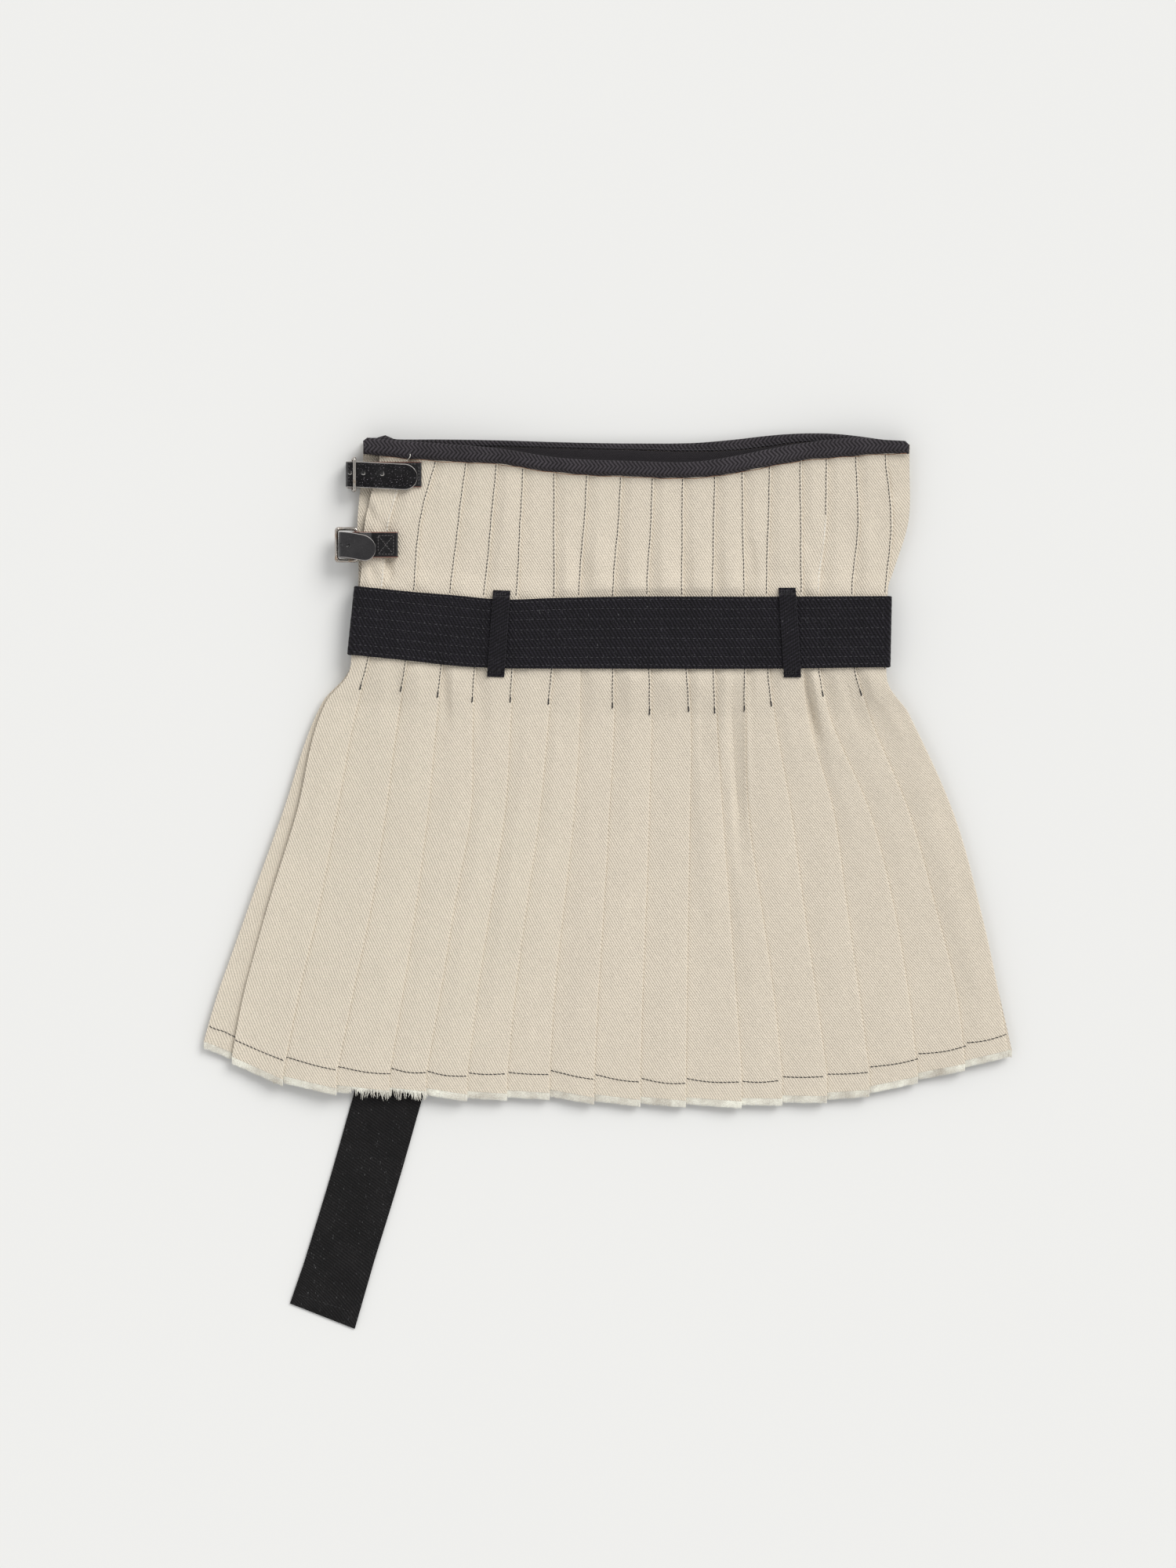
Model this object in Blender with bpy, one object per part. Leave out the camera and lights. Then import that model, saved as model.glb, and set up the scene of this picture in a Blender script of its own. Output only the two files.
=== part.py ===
"""Mini kilt in cream wool twill, laid flat on its back.

The kilt is built as it is sewn: two pleated panels, a strip of the wrapped under layer, bindings
round the waist edges, a belt in its loops, two buckle fastenings and a frayed hem. Every piece of
cloth is a closed wall, and each pleat is folded in full, face, return and inner fold.

All sizes are in millimetres, and MM turns them into metres as a mesh is made. X runs across the
kilt, Y from the hem up to the waist, and Z up from the surface that it lies on.
"""

import math
from collections import namedtuple

import bmesh
import bpy

MM = 0.001

# Cloth and leather
CLOTH = 1.0
BINDING = 1.2
BELT = 2.0
LEATHER = 1.2
TAB_LEATHER = 1.4
LOOP = 1.2
SEAM = 0.3  # between pieces that are sewn or laid together
PANEL_GAP = 0.5  # between the back panel and the front one

# Pleats
LEVEL = CLOTH + SEAM  # from one folded layer to the next
PANEL = 3 * CLOTH + 2 * SEAM  # a pleated panel is three layers deep
PLEAT_CUT = 42.0  # cloth that one pleat takes
LEAST_FACE = 9.0  # of each pleat's face that has no fold behind it
LEAST_UNDERLAY = 1.5
PAST_FOLD = 1.0  # a face starts to rise this far past the fold beside it
CREST = CLOTH + 0.6  # and is up this far before its own fold begins
HEM_STEP = 2.0  # a face's left hem corner sits this much above its neighbour's right one

# Belt, loops and binding
BELT_WIDTH_ALONG_X = 42.8  # of the tail, which leans, so its true width is 41
BELT_SIDE_SEAM = 7.6  # height at which the front and back stretches meet
BELT_CORNER = 1.0
STATION = 16.0  # bindings and belt bend at least this often along their length
WAIST_IN = 2.0  # the panels stop this far inside the binding's edge
FLANGE_SHORT = 4.0  # the binding's hidden flange is shorter than the one that shows
BACK_FLANGE = 9.0
FRONT_BINDING_ENDS = (-150.0, 183.6)
BACK_BINDING_ENDS = (-149.4, 182.8)
FACING_ENDS = (-148.0, 181.5)
WALL_AT_SIDE = 2.6  # room for the belt round each side of the cloth

# Layers above a base height
BELT_LIFT = 3.8  # the back panel over the belt and its loops
REST_LIFT = 1.5  # the back panel over the strap ends and the binding's flange
TAIL_LIFT = 2.3  # the back panel over the belt's tail
WAIST_GAP = 2.8  # extra room at the waist, for the facing and the binding
APRON_GAP = 0.4
APRON_LIFT = CLOTH + SEAM

# Fringe
FRINGE = 5.0  # beyond the cloth's edge
FRINGE_STRIP = 1.0
FRINGE_DEPTH = 0.8
STRANDS_FRONT = 5  # to a pleat
STRANDS_BACK = 3
STRANDS_APRON = 14  # along its whole hem
APRON_FRINGE_IN = 1.0  # from the under layer's two edges
STRAND_TAPER = 0.45
STRAND_SHARES = (1.0, 0.88, 0.76)  # strand lengths in turn
STRAND_LEANS = (-0.4, 0.1, -0.1, 0.4)  # how far their tips lean, in turn
STEP_AT_FOLD = 1.5
RISE_SHARE = 0.7  # of a face's width, in which its hem climbs to the top layer

# Heights at which the folds and the two sides are given, waist to hem
HEIGHTS = (256.0, 223.0, 176.4, 130.3, 107.8, 40.6, -17.0, -65.0, -118.0)

# One row for each fold of the front, left to right: where it crosses each of those heights, and
# the height of the hem at its corner. The first row is the front's free left edge.
Fold = namedtuple("Fold", "waist ribs belt_top belt_foot release thigh middle low hem hem_height")
FOLDS = (
    Fold(-140.4, -148.6, -152.8, -162.0, -174.1, -191.6, -209.4, -222.4, -232.3, -109.2),
    Fold(-122.6, -133.2, -138.5, -147.6, -153.8, -166.8, -177.8, -188.9, -199.4, -121.0),
    Fold(-105.1, -114.0, -118.3, -123.8, -127.7, -136.8, -145.7, -155.8, -166.6, -126.5),
    Fold(-86.4, -90.5, -96.0, -101.5, -104.3, -110.9, -118.3, -125.5, -134.2, -128.0),
    Fold(-67.6, -70.6, -75.1, -80.9, -82.7, -84.7, -94.8, -102.5, -111.8, -128.4),
    Fold(-51.2, -52.8, -55.2, -57.8, -59.5, -63.8, -72.7, -79.9, -86.6, -130.3),
    Fold(-32.4, -32.4, -32.4, -33.6, -36.0, -42.5, -50.6, -56.9, -62.2, -129.8),
    Fold(-11.8, -13.7, -17.2, -17.2, -17.5, -21.4, -27.6, -32.9, -36.2, -129.4),
    Fold(9.1, 7.2, 3.6, 3.5, 3.5, 0.2, -3.1, -6.2, -8.9, -132.2),
    Fold(28.3, 27.1, 24.5, 25.7, 26.2, 24.7, 22.8, 20.9, 19.4, -133.7),
    Fold(46.3, 46.2, 46.0, 48.5, 49.9, 49.7, 48.7, 48.0, 47.3, -134.2),
    Fold(66.1, 65.5, 64.6, 65.1, 65.8, 69.8, 74.2, 77.8, 81.4, -134.6),
    Fold(82.8, 83.1, 84.0, 84.4, 84.0, 85.7, 93.8, 100.6, 106.3, -133.0),
    Fold(99.8, 98.9, 97.6, 98.4, 100.8, 112.1, 119.8, 126.5, 133.7, -131.3),
    Fold(118.3, 118.6, 118.9, 119.1, 121.2, 138.2, 146.2, 152.9, 159.8, -127.5),
    Fold(134.3, 133.9, 129.1, 129.5, 133.7, 160.6, 175.0, 183.1, 189.4, -119.3),
    Fold(152.4, 153.8, 150.0, 151.3, 157.7, 184.6, 200.6, 212.4, 219.1, -111.6),
    Fold(170.6, 174.0, 170.4, 170.4, 181.4, 211.7, 227.7, 238.2, 246.5, -103.4),
)

HEM_LEFT_END = (-247.0, -103.2)  # of the under layer's hem, past the front's left edge

# The two sides of the kilt at the same heights
LEFT_SIDE = (-150.5, -153.8, -153.8, -164.1, -176.6, -200.4, -221.2, -238.0, -252.0)
RIGHT_SIDE = (184.1, 183.8, 171.0, 171.0, 181.4, 211.7, 227.7, 238.2, 250.4)

# The waist, left to right: the front binding's upper and lower edges, the back's upper edge, and
# the seam under the back's own binding
Waist = namedtuple("Waist", "x front_top front_low back_top back_seam")
WAIST = (
    Waist(-150.0, 272.0, 261.4, 272.4, 267.4),
    Waist(-132.7, 270.0, 259.9, 271.2, 266.4),
    Waist(-103.9, 268.1, 257.5, 271.0, 266.2),
    Waist(-67.4, 265.0, 255.6, 270.5, 266.4),
    Waist(-32.9, 259.7, 250.6, 269.4, 265.6),
    Waist(11.3, 257.5, 248.1, 268.6, 264.6),
    Waist(59.3, 257.6, 247.8, 269.3, 263.6),
    Waist(79.4, 260.9, 250.6, 271.2, 264.4),
    Waist(98.6, 264.9, 254.4, 273.4, 266.6),
    Waist(118.3, 268.3, 257.8, 274.7, 269.2),
    Waist(138.0, 270.8, 259.7, 274.5, 269.2),
    Waist(152.9, 271.5, 260.9, 273.0, 268.0),
    Waist(168.2, 270.4, 261.9, 270.9, 266.2),
    Waist(183.6, 269.6, 262.2, 269.6, 265.4),
)

# The belt's upper and lower edges, left to right
Edge = namedtuple("Edge", "x top foot")
BELT_EDGES = (
    Edge(-160.0, 181.4, 138.8),
    Edge(-118.3, 177.2, 134.6),
    Edge(-96.2, 175.4, 132.0),
    Edge(-64.0, 172.6, 130.4),
    Edge(-36.7, 173.5, 130.2),
    Edge(-17.0, 174.0, 130.2),
    Edge(103.0, 174.4, 130.2),
    Edge(173.3, 174.8, 131.1),
)
BELT_LEFT_TOP = -155.8
BELT_LEFT_FOOT = -160.1
BELT_RIGHT_TOP = 173.3
BELT_RIGHT_FOOT = 172.4

# The rows across each panel. A row follows an edge at some distance, and sets how high the back
# lies, how open the layers are for the waist's binding, and whether the tail lies below.
Row = namedtuple("Row", "edge offset lift waist tail")
ROWS = (
    Row("front_top", -WAIST_IN, REST_LIFT, 1, 0),
    Row("front_low", FLANGE_SHORT, REST_LIFT, 1, 0),
    Row("front_low", -1.0, REST_LIFT, 0, 0),
    Row("belt_top", 40.0, REST_LIFT, 0, 0),
    Row("belt_top", 14.0, REST_LIFT, 0, 0),
    Row("belt_top", 1.5, BELT_LIFT, 0, 0),
    Row("belt_foot", -1.5, BELT_LIFT, 0, 0),
    Row("belt_foot", -28.0, 0, 0, 1),
    Row("belt_foot", -75.0, 0, 0, 1),
    Row("belt_foot", -130.0, 0, 0, 1),
    Row("belt_foot", -190.0, 0, 0, 1),
    Row("hem", 0, 0, 0, 1),
)
BELT_ROWS = (5, 6)
HEM_ROW = 11
APRON_ROWS = range(2, HEM_ROW + 1)  # the under layer starts below the waist's binding
BACK_ROWS = range(4, HEM_ROW + 1)  # the back is plain from its waist down to the fourth row
PASSES = 3  # settle where a leaning side or fold crosses a sloping row
BACK_HEM_UP = 6.0  # the back's hem is hidden this far inside the front's
APRON_HEM_UP = 5.0

# The belt's tail: the middle of its width at a few heights, and the corners of its end
Middle = namedtuple("Middle", "y x")
TAIL = (
    Middle(129.6, -60.4),
    Middle(102.0, -68.4),
    Middle(60.0, -80.4),
    Middle(0.0, -97.4),
    Middle(-66.0, -116.2),
    Middle(-131.8, -135.4),
    Middle(-181.2, -149.4),
    Middle(-233.5, -165.4),
)
TAIL_END_LEFT = (-195.6, -259.0)
TAIL_END_MIDDLE = (-176.7, -268.3)
TAIL_END_RIGHT = (-155.8, -274.6)
TAIL_MARGIN = 8.0
TAIL_SLOPE = 60.0

# The under layer's hidden edge is this far from the left side, at the waist and at the hem
APRON_WIDTH_WAIST = 62.0
APRON_WIDTH_HEM = 90.0
APRON_SLOPE = 70.0
APRON_SHARES = (0.0, 0.16, 0.36, 0.56, 0.78, 1.0)

# Belt loops: where each crosses the belt's edges, and how far its ends reach past them
LoopPlace = namedtuple("LoopPlace", "name x_top x_foot")
FRONT_LOOPS = (LoopPlace("loop_front_left", -65.8, -68.8), LoopPlace("loop_front_right", 109.3, 112.0))
BACK_LOOPS = (LoopPlace("loop_back_left", -112.0, -112.0), LoopPlace("loop_back_right", 100.0, 100.0))
LOOP_WIDTH = 10.6
LOOP_END = 5.4
LOOP_RISE = 0.5  # a loop climbs from the cloth onto the belt within this length

# Buckle fastenings
STRAP_WIDTH = 16.0
TAB_WIDTH = 15.6
BAR_RADIUS = 1.1
FRAME_WIDTH = 19.4  # between the middles of the two side bars
FRAME_REACH = 12.2  # between the middles of the hinge bar and the outer bar
FRAME_CORNER = 1.6
CORNER_ANGLES = (0, 45, 90)
TAB_BEND = 1.2  # cut off each corner of a tab's path round its bar
STRAP_BEND = 1.6
UPPER_Y = 249.0
UPPER_TAB_RIGHT = -114.5
UPPER_TIP = -117.0
UPPER_TIP_DROP = 1.6
UPPER_HINGE_X = -156.6
UPPER_HINGE_HEIGHT = 4.5
UPPER_BAR_X = -155.4
UPPER_TAB_TURN = 2.4  # the tab comes down over the side within this width
UPPER_TAB_FALL = 1.8
LOWER_Y = 206.0
LOWER_TAB_RIGHT = -128.9
LOWER_TIP = -142.3
LOWER_TIP_DROP = 2.7
LOWER_OUTER_X = -166.4
LOWER_FOLD_BACK = 9.0  # the tab's upper layer comes down on the lower one this far from the hinge
LOWER_STRAP_LEAVES = -155.0  # the strap lifts off the surface here
LOWER_STRAP_CLIMB = (3.0, 3.6)  # a point on its way up: right of the upright part, and high
LOWER_STRAP_UPRIGHT = 8.0
STRAP_SEWN_END = -128.0  # under the back
TIP_ANGLES = (25.0, 50.0, 72.0)

# Colours as seen: (red, green, blue), roughness, metallic
Finish = namedtuple("Finish", "colour roughness metallic")
CREAM = Finish((0.67, 0.60, 0.50), 0.92, 0.0)
BINDING_BLACK = Finish((0.035, 0.032, 0.034), 0.85, 0.0)
FACING_BLACK = Finish((0.028, 0.026, 0.028), 0.9, 0.0)
BELT_BLACK = Finish((0.019, 0.018, 0.021), 0.82, 0.0)
LEATHER_BLACK = Finish((0.014, 0.013, 0.014), 0.28, 0.0)
NICKEL = Finish((0.62, 0.60, 0.56), 0.25, 1.0)


def clear_scene():
    for thing in list(bpy.data.objects):
        bpy.data.objects.remove(thing)


def material(name, finish):
    made = bpy.data.materials.new(name)
    made.use_nodes = True
    shader = made.node_tree.nodes["Principled BSDF"]
    shader.inputs["Base Color"].default_value = (*finish.colour, 1.0)
    shader.inputs["Roughness"].default_value = finish.roughness
    shader.inputs["Metallic"].default_value = finish.metallic
    return made


def add_object(name, mesh, finish):
    mesh.materials.append(material(name, finish))
    made = bpy.data.objects.new(name, mesh)
    bpy.context.scene.collection.objects.link(made)
    return made


def between(at, stops, values):
    """The value at a place on the broken line through stops and values, level past its ends."""
    rising = stops[-1] > stops[0]
    pairs = list(zip(stops, values)) if rising else list(zip(reversed(stops), reversed(values)))
    if at <= pairs[0][0]:
        return pairs[0][1]
    for (low, a), (high, b) in zip(pairs, pairs[1:]):
        if at <= high:
            return a + (b - a) * (at - low) / (high - low)
    return pairs[-1][1]


def ease(share):
    """0 to 1 with a level start and end."""
    share = min(max(share, 0.0), 1.0)
    return share * share * (3 - 2 * share)


def hem_height(x):
    places = [HEM_LEFT_END] + [(fold.hem, fold.hem_height) for fold in FOLDS]
    return between(x, [p[0] for p in places], [p[1] for p in places])


def edge_height(edge, x):
    """The height of one of the kilt's named edges at x."""
    if edge == "hem":
        return hem_height(x)
    if edge in ("belt_top", "belt_foot"):
        column = {"belt_top": "top", "belt_foot": "foot"}[edge]
        return between(x, [e.x for e in BELT_EDGES], [getattr(e, column) for e in BELT_EDGES])
    return between(x, [w.x for w in WAIST], [getattr(w, edge) for w in WAIST])


def row_height(row, x):
    return edge_height(row.edge, x) + row.offset


def across_rows(x, y, column):
    """A row's named value at a point, drawn straight between the rows above and below it."""
    heights = [row_height(row, x) for row in ROWS]
    return between(y, heights, [getattr(row, column) for row in ROWS])


def tail_middle(y):
    return between(y, [m.y for m in TAIL], [m.x for m in TAIL])


def over_tail(x, y):
    """1 where the back lies on the belt's tail, easing to 0 beside it."""
    past = abs(x - tail_middle(y)) - BELT_WIDTH_ALONG_X / 2 - TAIL_MARGIN
    return 1 - ease(past / TAIL_SLOPE)


def side(row_values, y):
    return between(y, HEIGHTS, row_values)


def apron_edge(y):
    """Where the under layer ends, hidden between the panels."""
    down = (HEIGHTS[0] - y) / (HEIGHTS[0] - HEIGHTS[-1])
    width = APRON_WIDTH_WAIST + (APRON_WIDTH_HEM - APRON_WIDTH_WAIST) * down
    return side(LEFT_SIDE, y) + width


def back_base(x, y):
    """Height of the back panel's underside."""
    tail = TAIL_LIFT * across_rows(x, y, "tail") * over_tail(x, y)
    return across_rows(x, y, "lift") + tail


def front_base(x, y):
    """Height of the front panel's underside."""
    over_apron = 1 - ease((x - apron_edge(y)) / APRON_SLOPE)
    waist = WAIST_GAP * across_rows(x, y, "waist")
    return back_base(x, y) + PANEL + PANEL_GAP + APRON_LIFT * over_apron + waist


def front_top(x, y):
    return front_base(x, y) + PANEL


def offset_line(points, distance):
    """Points of a flat line moved to its left by a distance, mitred at each bend."""
    moved = []
    for i, (a, b) in enumerate(points):
        normals = []
        for p, q in zip(points[max(i - 1, 0) : i + 1], points[max(i, 1) : i + 2]):
            along = (q[0] - p[0], q[1] - p[1])
            length = math.hypot(*along)
            normals.append((-along[1] / length, along[0] / length))
        first, last = normals[0], normals[-1]
        scale = distance / (1 + first[0] * last[0] + first[1] * last[1])
        moved.append((a + (first[0] + last[0]) * scale, b + (first[1] + last[1]) * scale))
    return moved


def finish_mesh(bm, mesh):
    """Turns every face of a closed shape outwards and hands it over."""
    bmesh.ops.recalc_face_normals(bm, faces=bm.faces[:])
    if bm.calc_volume(signed=True) < 0:
        bmesh.ops.reverse_faces(bm, faces=bm.faces[:])
    bm.to_mesh(mesh)
    bm.free()


def wall_mesh(name, lower, upper):
    """A closed wall between two grids of points, each a list of rows, in millimetres."""
    rows, columns = len(lower), len(lower[0])
    bm = bmesh.new()
    bmesh.ops.create_grid(bm, x_segments=columns - 1, y_segments=rows - 1, size=0.5)
    first_side = set(bm.verts)
    bmesh.ops.extrude_face_region(bm, geom=bm.faces[:], use_keep_orig=True)
    for vert in bm.verts:
        column = round((vert.co.x + 0.5) * (columns - 1))
        row = round((vert.co.y + 0.5) * (rows - 1))
        x, y, z = (lower if vert in first_side else upper)[row][column]
        vert.co = (x * MM, y * MM, z * MM)
    mesh = bpy.data.meshes.new(name)
    finish_mesh(bm, mesh)
    return mesh


def pleat_section(start, folds, end):
    """One row of a pleated panel: (place along the row, layer, part, pleat) for each bend.

    A face starts on the lowest layer past the fold beside it, rises to the top layer, folds back
    under itself on the middle one, and turns down to become the next face.
    """
    section = [(start, 0, "low", 0)]
    previous = start
    for pleat, fold in enumerate(folds):
        face = fold - previous
        underlay = min((PLEAT_CUT - face) / 2, max(face - LEAST_FACE, LEAST_UNDERLAY))
        turn = fold - CLOTH / 2
        section += [
            (turn - underlay - CREST, 2, "crest", pleat),
            (turn, 2, "edge", pleat),
            (turn, 1, "return", pleat),
            (turn - underlay, 1, "inner", pleat),
            (turn - underlay, 0, "inner", pleat),
            (fold + PAST_FOLD, 0, "low", pleat + 1),
        ]
        previous = fold
    section[-1] = (end, 0, "end", len(folds) - 1)
    return section


def section_sides(section):
    """The two faces of a pleated row as (along, height) points."""
    line = [(along, CLOTH / 2 + layer * LEVEL) for along, layer, _, _ in section]
    return offset_line(line, -CLOTH / 2), offset_line(line, CLOTH / 2)


def cinched(x, index):
    """A place on the row, drawn in where the belt passes round the sides."""
    if index not in BELT_ROWS:
        return x
    low = BELT_LEFT_TOP if index == BELT_ROWS[0] else BELT_LEFT_FOOT
    high = BELT_RIGHT_TOP if index == BELT_ROWS[0] else BELT_RIGHT_FOOT
    return min(max(x, low + WALL_AT_SIDE), high - WALL_AT_SIDE)


def fold_place(fold, index):
    """Where a front fold crosses a row."""
    if index == HEM_ROW:
        return fold.hem
    x = fold.belt_top
    for _ in range(PASSES):
        y = row_height(ROWS[index], x)
        x = between(y, HEIGHTS, fold[: len(HEIGHTS)])
    return cinched(x, index)


def hem_place(pleat, along, part):
    """The height of the front's hem at a bend, dropping to each face's right corner."""
    corner = FOLDS[pleat + 1].hem_height
    if part == "end":
        return corner
    if part == "inner":
        return corner + HEM_STEP
    left_corner = FOLDS[pleat].hem_height + HEM_STEP
    left, right = FOLDS[pleat].hem, FOLDS[pleat + 1].hem
    return left_corner + (corner - left_corner) * max(along - left, 0) / (right - left)


def make_front():
    lower, upper = [], []
    for index, row in enumerate(ROWS):
        places = [fold_place(fold, index) for fold in FOLDS]
        edge = places[-1]
        outer = cinched(side(RIGHT_SIDE, row_height(row, edge)), index)
        section = pleat_section(places[0], places[1:], max(outer, edge))
        for grid, points in zip((lower, upper), section_sides(section)):
            made = []
            for (along, _, part, pleat), (x, height) in zip(section, points):
                pleat = min(pleat, len(FOLDS) - 2)
                if index == HEM_ROW:
                    y = hem_place(pleat, along, part)
                else:
                    y = row_height(row, along)
                made.append((x, y, front_base(along, y) + height))
            grid.append(made)
    return add_object("front", wall_mesh("front", lower, upper), CREAM)


def back_row_height(index, x):
    if index is None:
        return edge_height("back_top", x) - WAIST_IN
    if index == HEM_ROW:
        return hem_height(x) + BACK_HEM_UP
    return row_height(ROWS[index], x)


def side_places(index):
    """The left and right ends of a row, found with the row's own height there."""
    ends = []
    for values in (LEFT_SIDE, RIGHT_SIDE):
        x = values[2]
        for _ in range(PASSES):
            y = back_row_height(index, x)
            x = side(values, y)
        ends.append(cinched(x, index))
    return ends


def make_back():
    """The back lies face down, so its pleats run the other way and its faces are underneath."""
    lower, upper = [], []
    pleats = len(FOLDS) - 1
    for index in (None, *BACK_ROWS):
        left, right = side_places(index)
        step = (right - left) / pleats
        folds = [-right + step * (k + 1) for k in range(pleats)]
        section = pleat_section(-right, folds, -left)
        for grid, points in zip((lower, upper), section_sides(section)):
            made = []
            for (along, _, _, _), (across, height) in zip(section, points):
                y = back_row_height(index, -along)
                made.append((-across, y, back_base(-along, y) + PANEL - height))
            grid.append(made)
    return add_object("back", wall_mesh("back", lower, upper), CREAM)


def make_under_apron():
    lower, upper = [], []
    for index in APRON_ROWS:
        row = ROWS[index]
        left = side_places(index)[0]
        made_low, made_high = [], []
        width = apron_edge(row_height(row, left)) - left
        for share in APRON_SHARES:
            x = left + share * width
            y = row_height(row, x)
            if row.edge == "front_low":
                y = edge_height("front_low", x) - SEAM
            if index == HEM_ROW:
                y = hem_height(x) + APRON_HEM_UP
            z = back_base(x, y) + PANEL + APRON_GAP
            made_low.append((x, y, z))
            made_high.append((x, y, z + CLOTH))
        lower.append(made_low)
        upper.append(made_high)
    return add_object("under_apron", wall_mesh("under_apron", lower, upper), CREAM)


def stations_between(left, right, bends):
    """Places from left to right with every bend among them, and none further apart than STATION."""
    stops = [left] + [x for x in bends if left < x < right] + [right]
    places = [left]
    for a, b in zip(stops, stops[1:]):
        steps = math.ceil((b - a) / STATION)
        places += [a + (b - a) * (k + 1) / steps for k in range(steps)]
    return places


def waist_stations(left, right):
    return stations_between(left, right, [w.x for w in WAIST])


def folded_binding(name, stations, section_at):
    """A binding folded over an edge: section_at(x) gives its (y, z) centreline at x."""
    lower, upper = [], []
    for x in stations:
        line = section_at(x)
        for grid, distance in ((lower, -BINDING / 2), (upper, BINDING / 2)):
            grid.append([(x, y, z) for y, z in offset_line(line, distance)])
    return add_object(name, wall_mesh(name, lower, upper), BINDING_BLACK)


def front_binding_section(x):
    top, low = edge_height("front_top", x), edge_height("front_low", x)
    shown = SEAM + BINDING / 2
    closed = top - BINDING / 2
    slope_top = low + FLANGE_SHORT
    return [
        (low, front_top(x, low) + shown),
        (slope_top, front_top(x, slope_top) + shown),
        (closed, front_top(x, slope_top) + shown),
        (closed, front_base(x, slope_top) - shown),
        (slope_top + SEAM, front_base(x, slope_top) - shown),
    ]


def back_binding_section(x):
    top, seam = edge_height("back_top", x), edge_height("back_seam", x)
    shown = SEAM + BINDING / 2
    closed = top - BINDING / 2
    return [
        (seam, REST_LIFT + PANEL + shown),
        (closed, REST_LIFT + PANEL + shown),
        (closed, REST_LIFT - SEAM - BINDING / 2),
        (top - BACK_FLANGE, REST_LIFT - SEAM - BINDING / 2),
    ]


def make_bindings():
    folded_binding("front_binding", waist_stations(*FRONT_BINDING_ENDS), front_binding_section)
    folded_binding("back_binding", waist_stations(*BACK_BINDING_ENDS), back_binding_section)


def make_facing():
    """The band inside the back's waist, from under its binding to under the front's."""
    lower, upper = [], []
    for x in waist_stations(*FACING_ENDS):
        z = REST_LIFT + PANEL + SEAM
        places = (edge_height("back_seam", x) - SEAM, edge_height("front_low", x) + FLANGE_SHORT + SEAM)
        lower.append([(x, y, z) for y in places])
        upper.append([(x, y, z + BINDING) for y in places])
    return add_object("back_facing", wall_mesh("back_facing", lower, upper), FACING_BLACK)


def belt_path(left, right, level_at, turned_to):
    """(x, z) along one edge of a belt stretch, with both ends turned towards the other stretch."""
    half = BELT / 2
    corner = BELT_CORNER if turned_to < level_at(0) else -BELT_CORNER
    bends = [e.x for e in BELT_EDGES if left + STATION < e.x < right - STATION]
    inner = stations_between(left + STATION, right - STATION, bends)
    line = [(left + half, turned_to), (left + half, level_at(left) - corner)]
    line += [(left + half + BELT_CORNER, level_at(left))]
    line += [(x, level_at(x)) for x in inner]
    line += [(right - half - BELT_CORNER, level_at(right))]
    line += [(right - half, level_at(right) - corner), (right - half, turned_to)]
    return line


def belt_stretch(name, level_at, turned_to):
    lower, upper = [], []
    ends = (("belt_top", BELT_LEFT_TOP, BELT_RIGHT_TOP), ("belt_foot", BELT_LEFT_FOOT, BELT_RIGHT_FOOT))
    for edge, left, right in ends:
        line = belt_path(left, right, level_at, turned_to)
        for grid, distance in ((lower, -BELT / 2), (upper, BELT / 2)):
            grid.append([(x, edge_height(edge, x), z) for x, z in offset_line(line, distance)])
    return add_object(name, wall_mesh(name, lower, upper), BELT_BLACK)


def belt_front_level(x):
    middle = (edge_height("belt_top", x) + edge_height("belt_foot", x)) / 2
    return front_top(x, middle) + SEAM + BELT / 2


def belt_back_level(_):
    """The back stretch is level all along."""
    return BELT_LIFT - SEAM - BELT / 2


def make_belt():
    belt_stretch("belt_front", belt_front_level, BELT_SIDE_SEAM + SEAM)
    belt_stretch("belt_back", belt_back_level, BELT_SIDE_SEAM)


def make_tail():
    """The belt's free end, which turns down from the back stretch and runs out past the hem."""
    lower, upper = [], []
    half = BELT_WIDTH_ALONG_X / 2
    rows = [[(m.x - half, m.y), (m.x, m.y), (m.x + half, m.y)] for m in TAIL]
    rows.append([TAIL_END_LEFT, TAIL_END_MIDDLE, TAIL_END_RIGHT])
    for row in rows:
        under_back = across_rows(*row[1], "lift") - REST_LIFT - SEAM
        height = min(max(under_back, 0.0), REST_LIFT)
        lower.append([(x, y, height) for x, y in row])
        upper.append([(x, y, height + BELT) for x, y in row])
    return add_object("belt_tail", wall_mesh("belt_tail", lower, upper), BELT_BLACK)


def make_loop(place, surface_at, belt_level, outward):
    """A belt loop, tab to tab; outward is 1 above the kilt and -1 below it."""
    lean = place.x_foot - place.x_top
    top, foot = edge_height("belt_top", place.x_top), edge_height("belt_foot", place.x_foot)

    def x_at(y):
        return place.x_top + lean * (top - y) / (top - foot)

    def along_belt(y, across):
        """How much the belt's nearer edge rises or falls from the loop's middle to its side."""
        edge, middle = ("belt_top", top) if y > (top + foot) / 2 else ("belt_foot", foot)
        return edge_height(edge, x_at(y) + across) - middle

    over = belt_level(place.x_top) + outward * (BELT / 2 + SEAM + LOOP / 2)
    beside = LOOP / 2 + SEAM
    places = [top + LOOP_END, top + beside + LOOP_RISE, top + beside]
    places += [foot - beside, foot - beside - LOOP_RISE, foot - LOOP_END]
    line = []
    for i, y in enumerate(places):
        on_cloth = surface_at(x_at(y), y) + outward * (SEAM + LOOP / 2)
        line.append((y, over if i in (2, 3) else on_cloth))
    lower, upper = [], []
    for across in (-LOOP_WIDTH / 2, LOOP_WIDTH / 2):
        for grid, distance in ((lower, -LOOP / 2), (upper, LOOP / 2)):
            moved = offset_line(line, distance)
            grid.append([(x_at(y) + across, y + along_belt(y, across), z) for y, z in moved])
    return add_object(place.name, wall_mesh(place.name, lower, upper), BELT_BLACK)


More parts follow.
